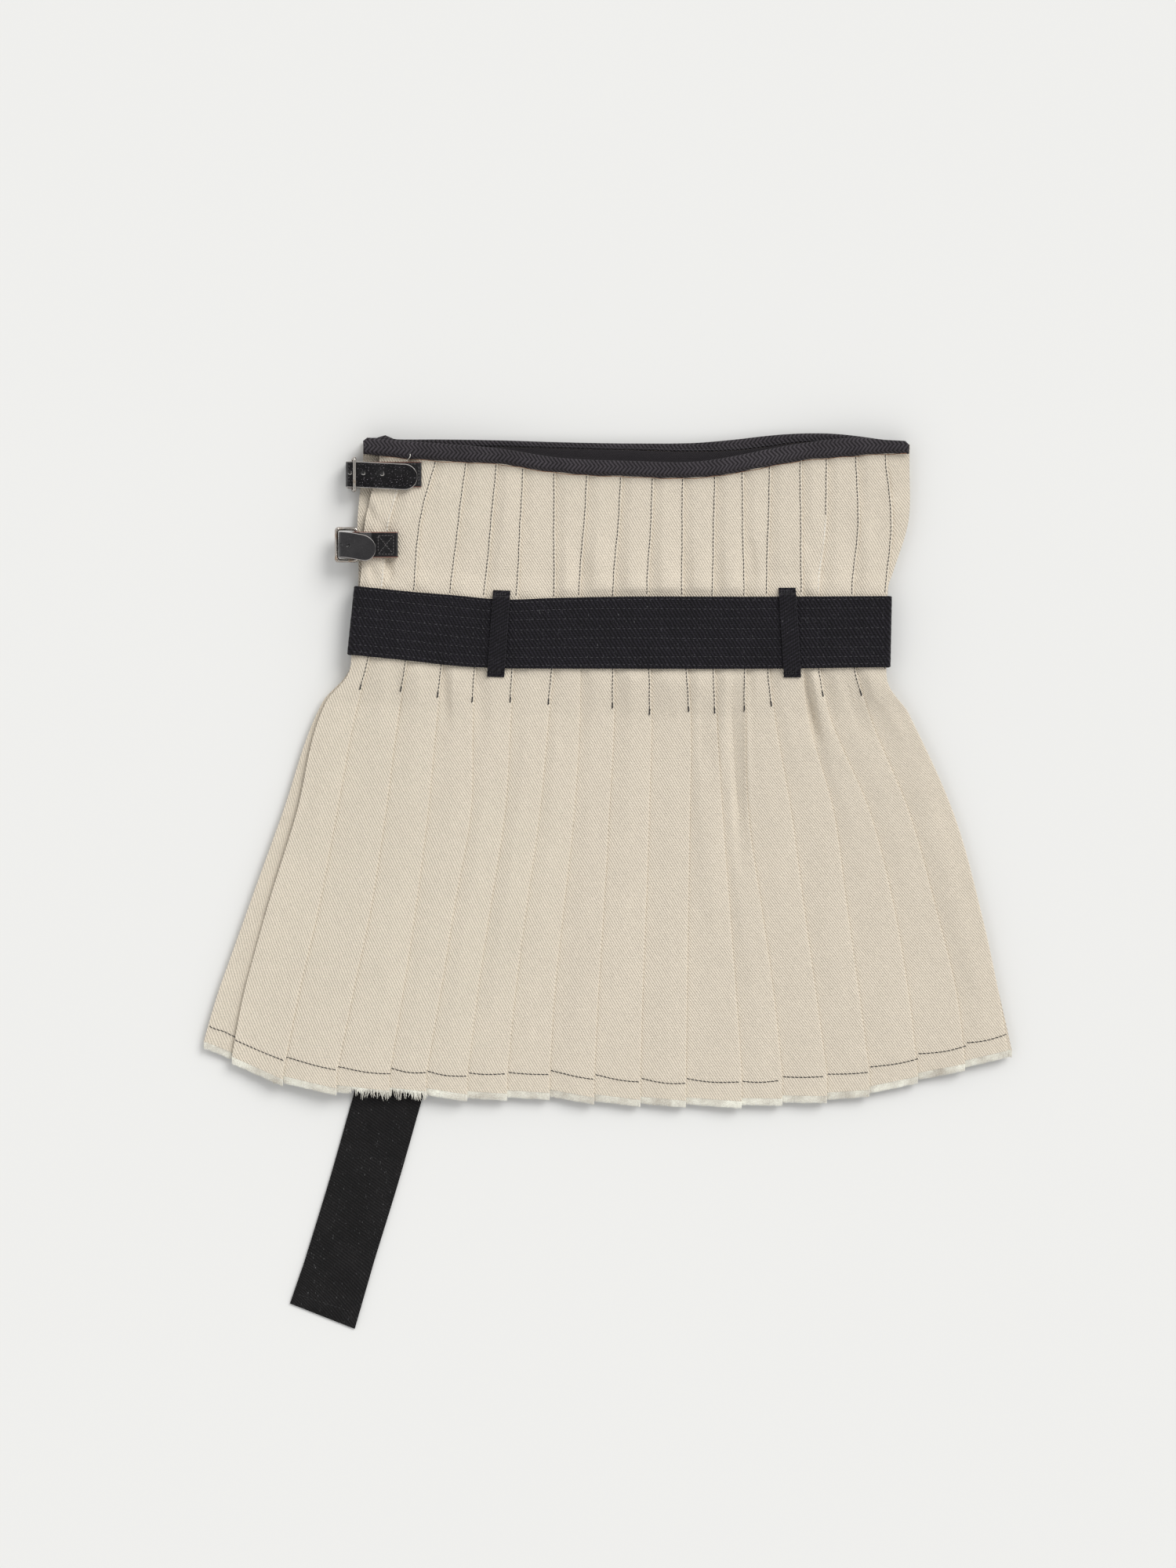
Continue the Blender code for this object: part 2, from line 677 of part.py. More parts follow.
def make_loops():
    for place in FRONT_LOOPS:
        make_loop(place, front_top, belt_front_level, 1)
    for place in BACK_LOOPS:
        make_loop(place, back_base, belt_back_level, -1)


def leather_strip(name, line, y, width, thickness, tip=None, drop=0.0):
    """Leather of one width along (x, z) points. A tip is rounded off at its x, and its end lies
    lower by a drop."""
    radius = width / 2
    stations = [(x, z, radius) for x, z in line]
    if tip is not None:
        z = line[-1][1]
        for angle in TIP_ANGLES:
            reach, spread = math.sin(math.radians(angle)), math.cos(math.radians(angle))
            stations.append((tip - radius + radius * reach, z, radius * spread))
    bend, last = line[-2][0], stations[-1][0]
    low_line = offset_line([s[:2] for s in stations], -thickness / 2)
    high_line = offset_line([s[:2] for s in stations], thickness / 2)
    lower, upper = [], []
    for across in (-1, 1):
        for grid, moved in ((lower, low_line), (upper, high_line)):
            row = []
            for i, ((x, z), (at, _, spread)) in enumerate(zip(moved, stations)):
                shift = drop * (at - bend) / (last - bend) if drop and i >= len(line) - 1 else 0
                row.append((x, y - shift + across * spread, z))
            grid.append(row)
    return add_object(name, wall_mesh(name, lower, upper), LEATHER_BLACK)


def make_frame(name, centre, reach_along):
    """A wire frame with rounded corners; reach_along(t) gives (x, z) from the hinge bar, t = 0,
    to the outer bar, t = 1."""
    half = FRAME_WIDTH / 2
    share = FRAME_CORNER / FRAME_REACH
    outline = []
    for t_corner, side_of, turn in ((0, -1, 180), (1, -1, 270), (1, 1, 0), (0, 1, 90)):
        t_middle = t_corner + (share if t_corner == 0 else -share)
        y_middle = side_of * (half - FRAME_CORNER)
        for angle in CORNER_ANGLES:
            a = math.radians(turn + angle)
            outline.append((t_middle + share * math.cos(a), y_middle + FRAME_CORNER * math.sin(a)))
    curve = bpy.data.curves.new(name, "CURVE")
    curve.dimensions = "3D"
    curve.bevel_depth = BAR_RADIUS * MM
    curve.bevel_resolution = 2
    spline = curve.splines.new("POLY")
    spline.points.add(len(outline) - 1)
    for point, (t, across) in zip(spline.points, outline):
        x, z = reach_along(t)
        point.co = (x * MM, (centre + across) * MM, z * MM, 1.0)
    spline.use_cyclic_u = True
    made = bpy.data.objects.new(name, curve)
    curve.materials.append(material(name, NICKEL))
    bpy.context.scene.collection.objects.link(made)
    return made


def make_upper_fastening():
    """The frame stands on edge at the side, and the strap passes in under its outer bar."""
    rest = front_top(UPPER_TAB_RIGHT, UPPER_Y) + SEAM
    hook = BAR_RADIUS + SEAM + TAB_LEATHER / 2
    x, z = UPPER_HINGE_X, UPPER_HINGE_HEIGHT
    tab = [
        (UPPER_TAB_RIGHT, rest + TAB_LEATHER / 2),
        (x + hook + UPPER_TAB_TURN, rest + TAB_LEATHER / 2),
        (x + hook, rest - UPPER_TAB_FALL),
        (x + hook, z - hook + TAB_BEND),
        (x + hook - TAB_BEND, z - hook),
        (x - hook + TAB_BEND, z - hook),
        (x - hook, z - hook + TAB_BEND),
        (x - hook, z + TAB_LEATHER),
    ]
    leather_strip("upper_buckle_tab", tab[::-1], UPPER_Y, TAB_WIDTH, TAB_LEATHER)
    tongue = rest + TAB_LEATHER + SEAM + LEATHER / 2
    bar = tongue + LEATHER / 2 + SEAM + BAR_RADIUS
    make_frame(
        "upper_buckle_frame",
        UPPER_Y,
        lambda t: (x + (UPPER_BAR_X - x) * t, z + (bar - z) * t),
    )
    outer = x - hook - TAB_LEATHER / 2 - SEAM - LEATHER / 2
    strap = [
        (STRAP_SEWN_END, LEATHER / 2),
        (outer + STRAP_BEND, LEATHER / 2),
        (outer, LEATHER / 2 + STRAP_BEND),
        (outer, tongue - STRAP_BEND),
        (outer + STRAP_BEND, tongue),
        (UPPER_TIP - STRAP_WIDTH / 2, tongue),
    ]
    leather_strip("upper_strap", strap, UPPER_Y, STRAP_WIDTH, LEATHER, UPPER_TIP, UPPER_TIP_DROP)


def make_lower_fastening():
    """The frame lies flat past the side, and the strap comes up through it beside the outer bar."""
    rest = front_top(LOWER_TAB_RIGHT, LOWER_Y) + SEAM
    x = LOWER_OUTER_X + FRAME_REACH
    hook = BAR_RADIUS + SEAM + TAB_LEATHER / 2
    z = rest + TAB_LEATHER / 2 + hook
    laid = rest + TAB_LEATHER * 3 / 2 + SEAM
    tab = [
        (LOWER_TAB_RIGHT, rest + TAB_LEATHER / 2),
        (x - hook + TAB_BEND, z - hook),
        (x - hook, z - hook + TAB_BEND),
        (x - hook, z + hook - TAB_BEND),
        (x - hook + TAB_BEND, z + hook),
        (x + hook, z + hook),
        (x + LOWER_FOLD_BACK, laid),
        (LOWER_TAB_RIGHT, laid),
    ]
    leather_strip("lower_buckle_tab", tab, LOWER_Y, TAB_WIDTH, TAB_LEATHER)
    make_frame("lower_buckle_frame", LOWER_Y, lambda t: (x - FRAME_REACH * t, z))
    over = z + hook + TAB_LEATHER / 2 + SEAM + LEATHER / 2
    inside = LOWER_OUTER_X + BAR_RADIUS + SEAM + LEATHER / 2
    climb, climbed = LOWER_STRAP_CLIMB
    strap = [
        (STRAP_SEWN_END, LEATHER / 2),
        (LOWER_STRAP_LEAVES, LEATHER / 2),
        (inside + climb, climbed),
        (inside, LOWER_STRAP_UPRIGHT),
        (inside, over - STRAP_BEND),
        (inside + STRAP_BEND, over),
        (LOWER_TIP - STRAP_WIDTH / 2, over),
    ]
    leather_strip("lower_strap", strap, LOWER_Y, STRAP_WIDTH, LEATHER, LOWER_TIP, LOWER_TIP_DROP)


def make_fringe(name, stations, strands):
    """Strands on a narrow strip. A station is (x, y, z) on the cloth's edge; strands lists the
    cells between stations that carry one."""
    lower, upper = [], []
    for row_y in (-SEAM, -SEAM - FRINGE_STRIP):
        lower.append([(x, y + row_y, z - FRINGE_DEPTH / 2) for x, y, z in stations])
        upper.append([(x, y + row_y, z + FRINGE_DEPTH / 2) for x, y, z in stations])
    mesh = wall_mesh(name, lower, upper)
    bm = bmesh.new()
    bm.from_mesh(mesh)
    outer = {}
    places = [p[0] * MM for p in stations]
    for face in bm.faces:
        if face.normal.y > -0.5:
            continue
        middle = sum(v.co.x for v in face.verts) / len(face.verts)
        cell = min(range(len(places) - 1), key=lambda i: abs((places[i] + places[i + 1]) / 2 - middle))
        outer[cell] = face
    chosen = [outer[cell] for cell in strands if cell in outer]
    pulled = bmesh.ops.extrude_discrete_faces(bm, faces=chosen)["faces"]
    for number, face in enumerate(pulled):
        middle = face.calc_center_median()
        length = (FRINGE - SEAM - FRINGE_STRIP) * STRAND_SHARES[number % len(STRAND_SHARES)]
        lean = STRAND_LEANS[number % len(STRAND_LEANS)]
        for vert in face.verts:
            vert.co = middle + (vert.co - middle) * STRAND_TAPER
            vert.co.x += lean * MM
            vert.co.y -= length * MM
    finish_mesh(bm, mesh)
    return add_object(name, mesh, CREAM)


def pleated_edge(faces, strands, height_of, level_of):
    """Stations and strand cells along a pleated hem, climbing each face and stepping at folds."""
    stations, cells = [], []
    for left, right, pleat in faces:
        start = left + STEP_AT_FOLD
        for k in range(strands + 1):
            x = start + (right - start) * k / strands
            share = min((x - start) / ((right - start) * RISE_SHARE), 1.0)
            y = height_of(x, pleat)
            stations.append((x, y, level_of(x, y, share)))
            if k < strands:
                cells.append(len(stations) - 1)
    return stations, cells


def make_fringes():
    faces = [(a.hem, b.hem, k) for k, (a, b) in enumerate(zip(FOLDS, FOLDS[1:]))]

    def front_height(x, pleat):
        return hem_place(pleat, x, "low")

    def front_level(x, y, share):
        return front_base(x, y) + CLOTH / 2 + 2 * LEVEL * share

    make_fringe("front_fringe", *pleated_edge(faces, STRANDS_FRONT, front_height, front_level))

    left, right = side_places(HEM_ROW)
    pleats = len(FOLDS) - 1
    step = (right - left) / pleats
    faces = [(left + step * k - STEP_AT_FOLD, left + step * (k + 1) - STEP_AT_FOLD, k) for k in range(pleats)]

    def back_height(x, pleat):
        return back_row_height(HEM_ROW, x)

    def back_level(x, y, share):
        return back_base(x, y) + CLOTH / 2 + 2 * LEVEL * share

    make_fringe("back_fringe", *pleated_edge(faces, STRANDS_BACK, back_height, back_level))

    left = side_places(HEM_ROW)[0]
    width = apron_edge(hem_height(left)) - left
    stations = []
    for k in range(STRANDS_APRON + 1):
        x = left + APRON_FRINGE_IN + (width - 2 * APRON_FRINGE_IN) * k / STRANDS_APRON
        y = hem_height(x) + APRON_HEM_UP
        stations.append((x, y, back_base(x, y) + PANEL + APRON_GAP + CLOTH / 2))
    make_fringe("under_apron_fringe", stations, range(STRANDS_APRON))


def main():
    clear_scene()
    make_front()
    make_back()
    make_under_apron()
    make_bindings()
    make_facing()
    make_belt()
    make_tail()
    make_loops()
    make_upper_fastening()
    make_lower_fastening()
    make_fringes()


main()
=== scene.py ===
"""Looks of a mini kilt in cream wool twill that lies flat on a pale floor.

The cloth, belt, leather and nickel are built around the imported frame, piece by piece. Sizes are in
millimetres in the tables and functions, and MM turns them into metres where a mesh is filled.
X runs across the kilt, Y from the hem up to the waist, and Z up from the floor.
"""

import math
from collections import namedtuple

import bmesh
import bpy
import numpy as np
from bpy.props import FloatProperty, FloatVectorProperty, IntProperty, PointerProperty
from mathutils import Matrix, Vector
from mathutils.bvhtree import BVHTree


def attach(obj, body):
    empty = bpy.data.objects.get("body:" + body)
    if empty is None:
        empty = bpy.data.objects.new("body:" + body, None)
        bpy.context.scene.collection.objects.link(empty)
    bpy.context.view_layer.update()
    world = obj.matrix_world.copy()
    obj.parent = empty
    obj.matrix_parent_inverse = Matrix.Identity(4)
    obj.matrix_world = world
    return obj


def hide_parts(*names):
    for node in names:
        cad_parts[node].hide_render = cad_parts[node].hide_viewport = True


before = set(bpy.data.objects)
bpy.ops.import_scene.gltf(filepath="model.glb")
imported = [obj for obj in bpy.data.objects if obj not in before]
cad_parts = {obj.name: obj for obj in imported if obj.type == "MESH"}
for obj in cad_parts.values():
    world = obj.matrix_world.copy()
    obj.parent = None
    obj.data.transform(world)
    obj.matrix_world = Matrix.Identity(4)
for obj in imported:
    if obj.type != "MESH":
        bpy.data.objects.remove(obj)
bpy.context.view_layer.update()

bl_info = {
    "name": "Mini kilt",
    "version": (1, 0, 0),
    "blender": (4, 5, 0),
    "location": "3D View > Sidebar > Kilt",
    "description": "Builds the cloth, belt, leather and metal of a pleated mini kilt",
    "category": "Object",
}

MM = 0.001
BODY = "root"

# Cloth and leather as the frame has them
PANEL = 3.6
PANEL_GAP = 0.5
SEAM = 0.3
BINDING = 1.2
BELT = 2.0
LOOP = 1.2
LEATHER = 1.2
TAB_LEATHER = 1.4
APRON_GAP = 0.4
BELT_LIFT = 3.8
REST_LIFT = 1.5  # of the back, over its binding's lower half
TAIL_LIFT = 2.3
WAIST_GAP = 2.8
APRON_LIFT = 1.3

# Pleats, pressed
PLEAT_CUT = 42.0
LEAST_FACE = 9.0
LEAST_UNDERLAY = 1.5
PAST_FOLD = 0.8
CREST = 1.6
HEM_STEP = 2.0
LAYER_STEP = 1.03  # from one layer of folded cloth to the next, in thicknesses
PILE = 3.06  # the three layers of a pleat, in thicknesses

# Heights at which the folds and the two sides are given, waist to hem
HEIGHTS = (256.0, 223.0, 176.4, 130.3, 107.8, 40.6, -17.0, -65.0, -118.0)

# One row for each fold of the front, left to right: where it crosses each of those heights, and
# the height of the hem at its corner. The first row is the front's free left edge.
Fold = namedtuple("Fold", "waist ribs belt_top belt_foot release thigh middle low hem hem_height")
FOLDS = (
    Fold(-140.4, -148.6, -152.8, -162.0, -174.1, -191.6, -209.4, -222.4, -232.3, -109.2),
    Fold(-122.6, -133.2, -138.5, -147.6, -153.8, -166.8, -177.8, -188.9, -199.4, -121.0),
    Fold(-105.1, -114.0, -118.3, -123.8, -127.7, -136.8, -145.7, -155.8, -166.6, -126.5),
    Fold(-86.4, -90.5, -96.0, -101.5, -104.3, -110.9, -118.3, -125.5, -134.2, -128.0),
    Fold(-67.6, -70.6, -75.1, -80.9, -82.7, -84.7, -94.8, -102.5, -111.8, -128.4),
    Fold(-51.2, -52.8, -55.2, -57.8, -59.5, -63.8, -72.7, -79.9, -86.6, -130.3),
    Fold(-32.4, -32.4, -32.4, -33.6, -36.0, -42.5, -50.6, -56.9, -62.2, -129.8),
    Fold(-11.8, -13.7, -17.2, -17.2, -17.5, -21.4, -27.6, -32.9, -36.2, -129.4),
    Fold(9.1, 7.2, 3.6, 3.5, 3.5, 0.2, -3.1, -6.2, -8.9, -132.2),
    Fold(28.3, 27.1, 24.5, 25.7, 26.2, 24.7, 22.8, 20.9, 19.4, -133.7),
    Fold(46.3, 46.2, 46.0, 48.5, 49.9, 49.7, 48.7, 48.0, 47.3, -134.2),
    Fold(66.1, 65.5, 64.6, 65.1, 65.8, 69.8, 74.2, 77.8, 81.4, -134.6),
    Fold(82.8, 83.1, 84.0, 84.4, 84.0, 85.7, 93.8, 100.6, 106.3, -133.0),
    Fold(99.8, 98.9, 97.6, 98.4, 100.8, 112.1, 119.8, 126.5, 133.7, -131.3),
    Fold(118.3, 118.6, 118.9, 119.1, 121.2, 138.2, 146.2, 152.9, 159.8, -127.5),
    Fold(134.3, 133.9, 129.1, 129.5, 133.7, 160.6, 175.0, 183.1, 189.4, -119.3),
    Fold(152.4, 153.8, 150.0, 151.3, 157.7, 184.6, 200.6, 212.4, 219.1, -111.6),
    Fold(170.6, 174.0, 170.4, 170.4, 181.4, 211.7, 227.7, 238.2, 246.5, -103.4),
)
HEM_LEFT_END = (-247.0, -103.2)

# The two sides of the kilt at the same heights
LEFT_SIDE = (-150.5, -153.8, -153.8, -164.1, -176.6, -200.4, -221.2, -238.0, -252.0)
RIGHT_SIDE = (184.1, 183.8, 171.0, 171.0, 181.4, 211.7, 227.7, 238.2, 250.4)

# The waist, left to right: the front binding's upper and lower edges, the back's upper edge, and
# the seam under the back's own binding
Waist = namedtuple("Waist", "x front_top front_low back_top back_seam")
WAIST = (
    Waist(-150.0, 272.0, 261.4, 272.4, 267.4),
    Waist(-132.7, 270.0, 259.9, 271.2, 266.4),
    Waist(-103.9, 268.1, 257.5, 271.0, 266.2),
    Waist(-67.4, 265.0, 255.6, 270.5, 266.4),
    Waist(-32.9, 259.7, 250.6, 269.4, 265.6),
    Waist(11.3, 257.5, 248.1, 268.6, 264.6),
    Waist(59.3, 257.6, 247.8, 269.3, 263.6),
    Waist(79.4, 260.9, 250.6, 271.2, 264.4),
    Waist(98.6, 264.9, 254.4, 273.4, 266.6),
    Waist(118.3, 268.3, 257.8, 274.7, 269.2),
    Waist(138.0, 270.8, 259.7, 274.5, 269.2),
    Waist(152.9, 271.5, 260.9, 273.0, 268.0),
    Waist(168.2, 270.4, 261.9, 270.9, 266.2),
    Waist(183.6, 269.6, 262.2, 269.6, 265.4),
)

# The belt's upper and lower edges, left to right
Edge = namedtuple("Edge", "x top foot")
BELT_EDGES = (
    Edge(-160.0, 181.4, 138.8),
    Edge(-118.3, 177.2, 134.6),
    Edge(-96.2, 175.4, 132.0),
    Edge(-64.0, 172.6, 130.4),
    Edge(-36.7, 173.5, 130.2),
    Edge(-17.0, 174.0, 130.2),
    Edge(103.0, 174.4, 130.2),
    Edge(173.3, 174.8, 131.1),
)
FRONT_BINDING_ENDS = (-150.0, 183.6)
BACK_BINDING_ENDS = (-149.4, 182.8)
BINDING_CORNER = 3.0
FACING_ENDS = (-148.0, 181.5)
FACING_FOOT = 4.3  # above the front binding's lower edge
BELT_LEFT_TOP = -155.8
BELT_LEFT_FOOT = -160.1
BELT_RIGHT_TOP = 173.3
BELT_RIGHT_FOOT = 172.4
BELT_SIDE_SEAM = 7.6
WALL_AT_SIDE = 2.6
BELT_TAPER = 0.95  # of its thickness, as its edges are rounded

# Rows across each panel: the edge that a row follows and its offset from it, how high the back
# lies there, how open the layers are for the waist's binding, whether the tail lies below, and
# how many finer rows the cloth has before the next one
Row = namedtuple("Row", "edge offset lift waist tail finer")
ROWS = (
    Row("front_top", -2.0, 1.5, 1, 0, 2),
    Row("front_low", 4.0, 1.5, 1, 0, 2),
    Row("front_low", -1.0, 1.5, 0, 0, 14),
    Row("belt_top", 40.0, 1.5, 0, 0, 11),
    Row("belt_top", 14.0, 1.5, 0, 0, 10),
    Row("belt_top", 1.5, 3.8, 0, 0, 4),
    Row("belt_foot", -1.5, 3.8, 0, 0, 16),
    Row("belt_foot", -28.0, 0, 0, 1, 17),
    Row("belt_foot", -75.0, 0, 0, 1, 15),
    Row("belt_foot", -130.0, 0, 0, 1, 13),
    Row("belt_foot", -190.0, 0, 0, 1, 15),
    Row("hem", 0, 0, 0, 1, 0),
)
HEM_ROW = 11
BACK_HEM_UP = 6.0
APRON_HEM_UP = 5.0
APRON_WIDTH_WAIST = 62.0
APRON_WIDTH_HEM = 90.0
APRON_SLOPE = 70.0

# The belt's tail: the middle of its width at a few heights, and the corners of its end
Middle = namedtuple("Middle", "y x")
TAIL = (
    Middle(129.6, -60.4),
    Middle(102.0, -68.4),
    Middle(60.0, -80.4),
    Middle(0.0, -97.4),
    Middle(-66.0, -116.2),
    Middle(-131.8, -135.4),
    Middle(-181.2, -149.4),
    Middle(-233.5, -165.4),
)
TAIL_WIDTH_ALONG_X = 42.8
TAIL_END_LEFT = (-195.6, -259.0)
TAIL_END_RIGHT = (-155.8, -274.6)
TAIL_MARGIN = 8.0
TAIL_SLOPE = 60.0
TAIL_HEM = 11.0
TAIL_SEAM_START = (-191.0, -253.2)
TAIL_SEAM_RUN = (36.6, -12.0)

# Belt loops: where each crosses the belt's edges, and how far its ends reach past them
LoopPlace = namedtuple("LoopPlace", "name x_top x_foot")
FRONT_LOOPS = (LoopPlace("loop_front_left", -65.8, -68.8), LoopPlace("loop_front_right", 109.3, 112.0))
BACK_LOOPS = (LoopPlace("loop_back_left", -112.0, -112.0), LoopPlace("loop_back_right", 100.0, 100.0))
LOOP_WIDTH = 10.6
LOOP_END = 5.4
BACK_LOOP_TAPER = 0.92  # keeps the back's loops off the floor

# Buckle fastenings
STRAP_WIDTH = 16.0
TAB_WIDTH = 15.6
BAR_RADIUS = 1.1
FRAME_WIDTH = 19.4
FRAME_REACH = 12.2
FRAME_CORNER = 1.6
UPPER_Y = 249.0
UPPER_TAB_RIGHT = -114.5
UPPER_TIP = -117.0
UPPER_TIP_DROP = 1.6
UPPER_HINGE_X = -156.6
UPPER_HINGE_HEIGHT = 4.5
UPPER_BAR_X = -155.4
LOWER_Y = 206.0
LOWER_TAB_RIGHT = -128.9
LOWER_TIP = -142.3
LOWER_TIP_DROP = 2.7
LOWER_OUTER_X = -166.4
LOWER_FOLD_BACK = 9.0
STRAP_SEWN_END = -128.0
Hole = namedtuple("Hole", "x y")
UPPER_HOLES = (Hole(-158.2, 250.0), Hole(-150.0, 249.8), Hole(-138.5, 249.3))
LOWER_HOLES = (Hole(-158.8, 205.4), Hole(-163.6, 205.8))
HOLE_RADIUS = 1.0
LOWER_TAB_BOX = (-141.0, -131.6, 200.2, 211.6)  # left, right, foot and top of its sewn box
UPPER_TAB_SEAM = (-150.0, -116.2, 242.6, 255.4)

# Soft ridges and troughs of the front: a line from its top to its foot, half its width, and how
# far the cloth rises along it
Crease = namedtuple("Crease", "x_top y_top x_foot y_foot half_width rise")
CREASES = (
    Crease(78.0, 128.0, 81.5, 4.0, 3.4, -1.7),
    Crease(84.2, 124.0, 86.0, 40.0, 2.2, 0.8),
    Crease(120.4, 128.0, 128.0, 84.0, 2.8, -1.9),
    Crease(125.6, 126.0, 138.0, 74.0, 3.6, 1.0),
    Crease(57.4, 124.0, 57.8, 66.0, 3.0, -0.8),
    Crease(68.9, 122.0, 69.8, 54.0, 3.4, 0.8),
    Crease(-100.0, 130.0, -98.6, 90.0, 2.6, -1.0),
    Crease(-129.0, 132.0, -130.0, 96.0, 3.0, -0.7),
    Crease(-78.0, 128.0, -77.0, 84.0, 4.0, -0.6),
    Crease(-28.0, 126.0, -30.0, 80.0, 4.5, -0.5),
    Crease(36.0, 126.0, 36.0, 90.0, 4.0, -0.6),
    Crease(143.0, 128.0, 160.0, 84.0, 3.5, -0.8),
    Crease(160.0, 128.0, 182.0, 84.0, 5.0, 0.7),
    Crease(-151.0, 236.0, -137.0, 214.0, 3.0, -1.0),
    Crease(-146.0, 238.0, -140.0, 217.0, 2.4, 0.7),
    Crease(-150.0, 197.0, -146.0, 181.0, 2.4, 0.5),
    Crease(-136.0, 214.0, -133.5, 182.0, 2.6, -1.2),
    Crease(-146.0, 194.0, -142.0, 180.0, 3.2, -0.8),
    Crease(124.5, 214.0, 124.2, 178.0, 3.4, -0.9),
    Crease(88.0, 205.0, 90.0, 176.0, 3.0, -0.7),
    Crease(-20.0, 210.0, -14.0, 178.0, 5.0, -0.5),
    Crease(150.0, 240.0, 158.0, 200.0, 5.0, 0.6),
    Crease(168.0, 236.0, 160.0, 196.0, 4.0, -0.6),
    Crease(-60.0, 244.0, -62.0, 196.0, 6.0, 0.4),
    Crease(60.0, 60.0, 70.0, -60.0, 7.0, 0.4),
    Crease(-50.0, 90.0, -66.0, -40.0, 7.0, 0.35),
    Crease(190.0, 60.0, 226.0, -70.0, 7.0, 0.6),
    Crease(-190.0, 60.0, -216.0, -70.0, 7.0, 0.5),
)

# How far the cloth puffs out beside the belt: at x, above it and below it
Puff = namedtuple("Puff", "x above below half_width")
PUFFS = (
    Puff(-140.0, 0.5, 0.5, 6.0),
    Puff(-118.0, 0.6, 0.7, 7.0),
    Puff(-95.0, 0.7, 0.9, 7.0),
    Puff(-52.0, 0.5, 0.4, 7.0),
    Puff(-26.0, 1.0, 0.6, 7.0),
    Puff(-5.0, 1.9, 0.9, 8.0),
    Puff(15.0, 2.2, 1.6, 8.5),
    Puff(36.0, 2.3, 2.0, 8.5),
    Puff(56.0, 2.1, 1.8, 8.0),
    Puff(75.0, 1.7, 1.6, 6.5),
    Puff(91.0, 0.9, 0.7, 5.5),
    Puff(124.0, 1.2, 1.4, 4.5),
    Puff(141.0, 0.9, 0.9, 6.0),
    Puff(161.0, 0.5, 0.8, 6.0),
)
PUFF_PEAK = 10.0  # from the belt's edge
HELD_BY_BELT = 5.5  # how far from the belt its hold on the cloth reaches
HELD_BY_WAIST = 12.0
BROAD_SWELL = 0.16
FINE_SWELL = 0.12

# Sewing: where the thread of each pleat stops below the belt, or None where it stops above it
PleatThread = namedtuple("PleatThread", "fold above foot")
PLEAT_THREADS = (
    PleatThread(1, "cream", 115.9),
    PleatThread(2, "black", 114.7),
    PleatThread(3, "black", 111.1),
    PleatThread(4, "black", 108.2),
    PleatThread(5, "black", 108.2),
    PleatThread(6, "black", 106.8),
    PleatThread(7, "black", None),
    PleatThread(8, "black", 104.6),
    PleatThread(9, "black", 101.0),
    PleatThread(10, "black", 102.5),
    PleatThread(11, "black", 101.5),
    PleatThread(12, "black", 103.0),
    PleatThread(13, "black", 105.8),
    PleatThread(14, "black", None),
    PleatThread(15, "black", 111.8),
    PleatThread(16, "black", 112.2),
    PleatThread(17, "black", 115.5),
)
THREAD_IN = 1.3  # from the fold
THREAD_RADIUS = 0.25
PITCH = 2.3
TACK_LENGTH = 5.0
HEM_THREAD_UP = 11.3
HEM_PITCH = 2.5
HEM_STITCH = 2.35
TACK_STITCH = 1.5
LOOP_PITCH = 1.5
LOOP_STITCH = 1.2
LOOP_SEWN_HALF = 4.4
LOOP_ROW_STEP = 0.9
TAB_STITCH = 1.5
TAB_PITCH = 1.9
SEAM_PITCH = 2.6
SEAM_STITCH = 2.1
PLEAT_STITCH = 2.0
CREAM_STITCH = 1.9
ROW_STEP = 3.0  # between the points of a line of sewing along the belt
BELT_PITCH = 3.3
BELT_WIDTH = 43.2
BELT_ROWS_DOWN = (2.0, 7.4, 13.2, 19.2, 25.0, 30.6, 36.2, 41.0)
QUILT_HOLLOW = 1.0
QUILT_RISE = 0.10
PLEAT_SEWING = ("pleat_thread", "cream_pleat_thread")
YARN_RADIUS = 0.2
FRAY_SEED = 17
RUBBED_X = -135.0  # where the belt's tail has rubbed the hem
RUBBED_HALF = 26.0
LEFT_EDGE_SEWN = (258.0, 182.0)
APRON_HEM_SEWN = (-245.0, -226.0)
BACK_HEM_SEWN = (-240.0, 240.0)
BELT_SEWN = (-157.0, 171.5)
EDGE_SEWN = (-149.0, 183.0)
WAIST_SEWN = (-146.0, 180.0)
HEM_THREAD_RADIUS = 0.27
CREAM_STOP = 222.0
CREAM_BELOW = 15  # the fold whose thread turns from black to cream there

# The picture, looking straight down: its middle, and its height in metres, both on a plane that
# high over the floor
PICTURE_MIDDLE = (-12.72, 59.76)
PICTURE_TALL = 0.96
PICTURE_PLANE = 8.0
FILM_HEIGHT = 36.0
FLOOR_HALF = 6.0
KEY_FROM = (1.3, 1.5, 1.7)
KEY_WIDTH = 34  # degrees
KEY_COLOUR = (1.0, 0.995, 0.985)
OVERHEAD = (0.86, 0.96)  # how steep the surround's darker part starts, and where it is full
OVERHEAD_SHADE = (0.07, 0.07, 0.075)


# Sizes and colours that a user would change


def length(name, description, default, low, high):
    """A length in millimetres, kept in metres."""
    return FloatProperty(
        name=name,
        description=description,
        default=default * MM,
        min=low * MM,
        max=high * MM,
        subtype="DISTANCE",
        unit="LENGTH",
    )


def colour_of(name, description, default):
    return FloatVectorProperty(
        name=name, description=description, default=default, min=0.0, max=1.0, subtype="COLOR"
    )


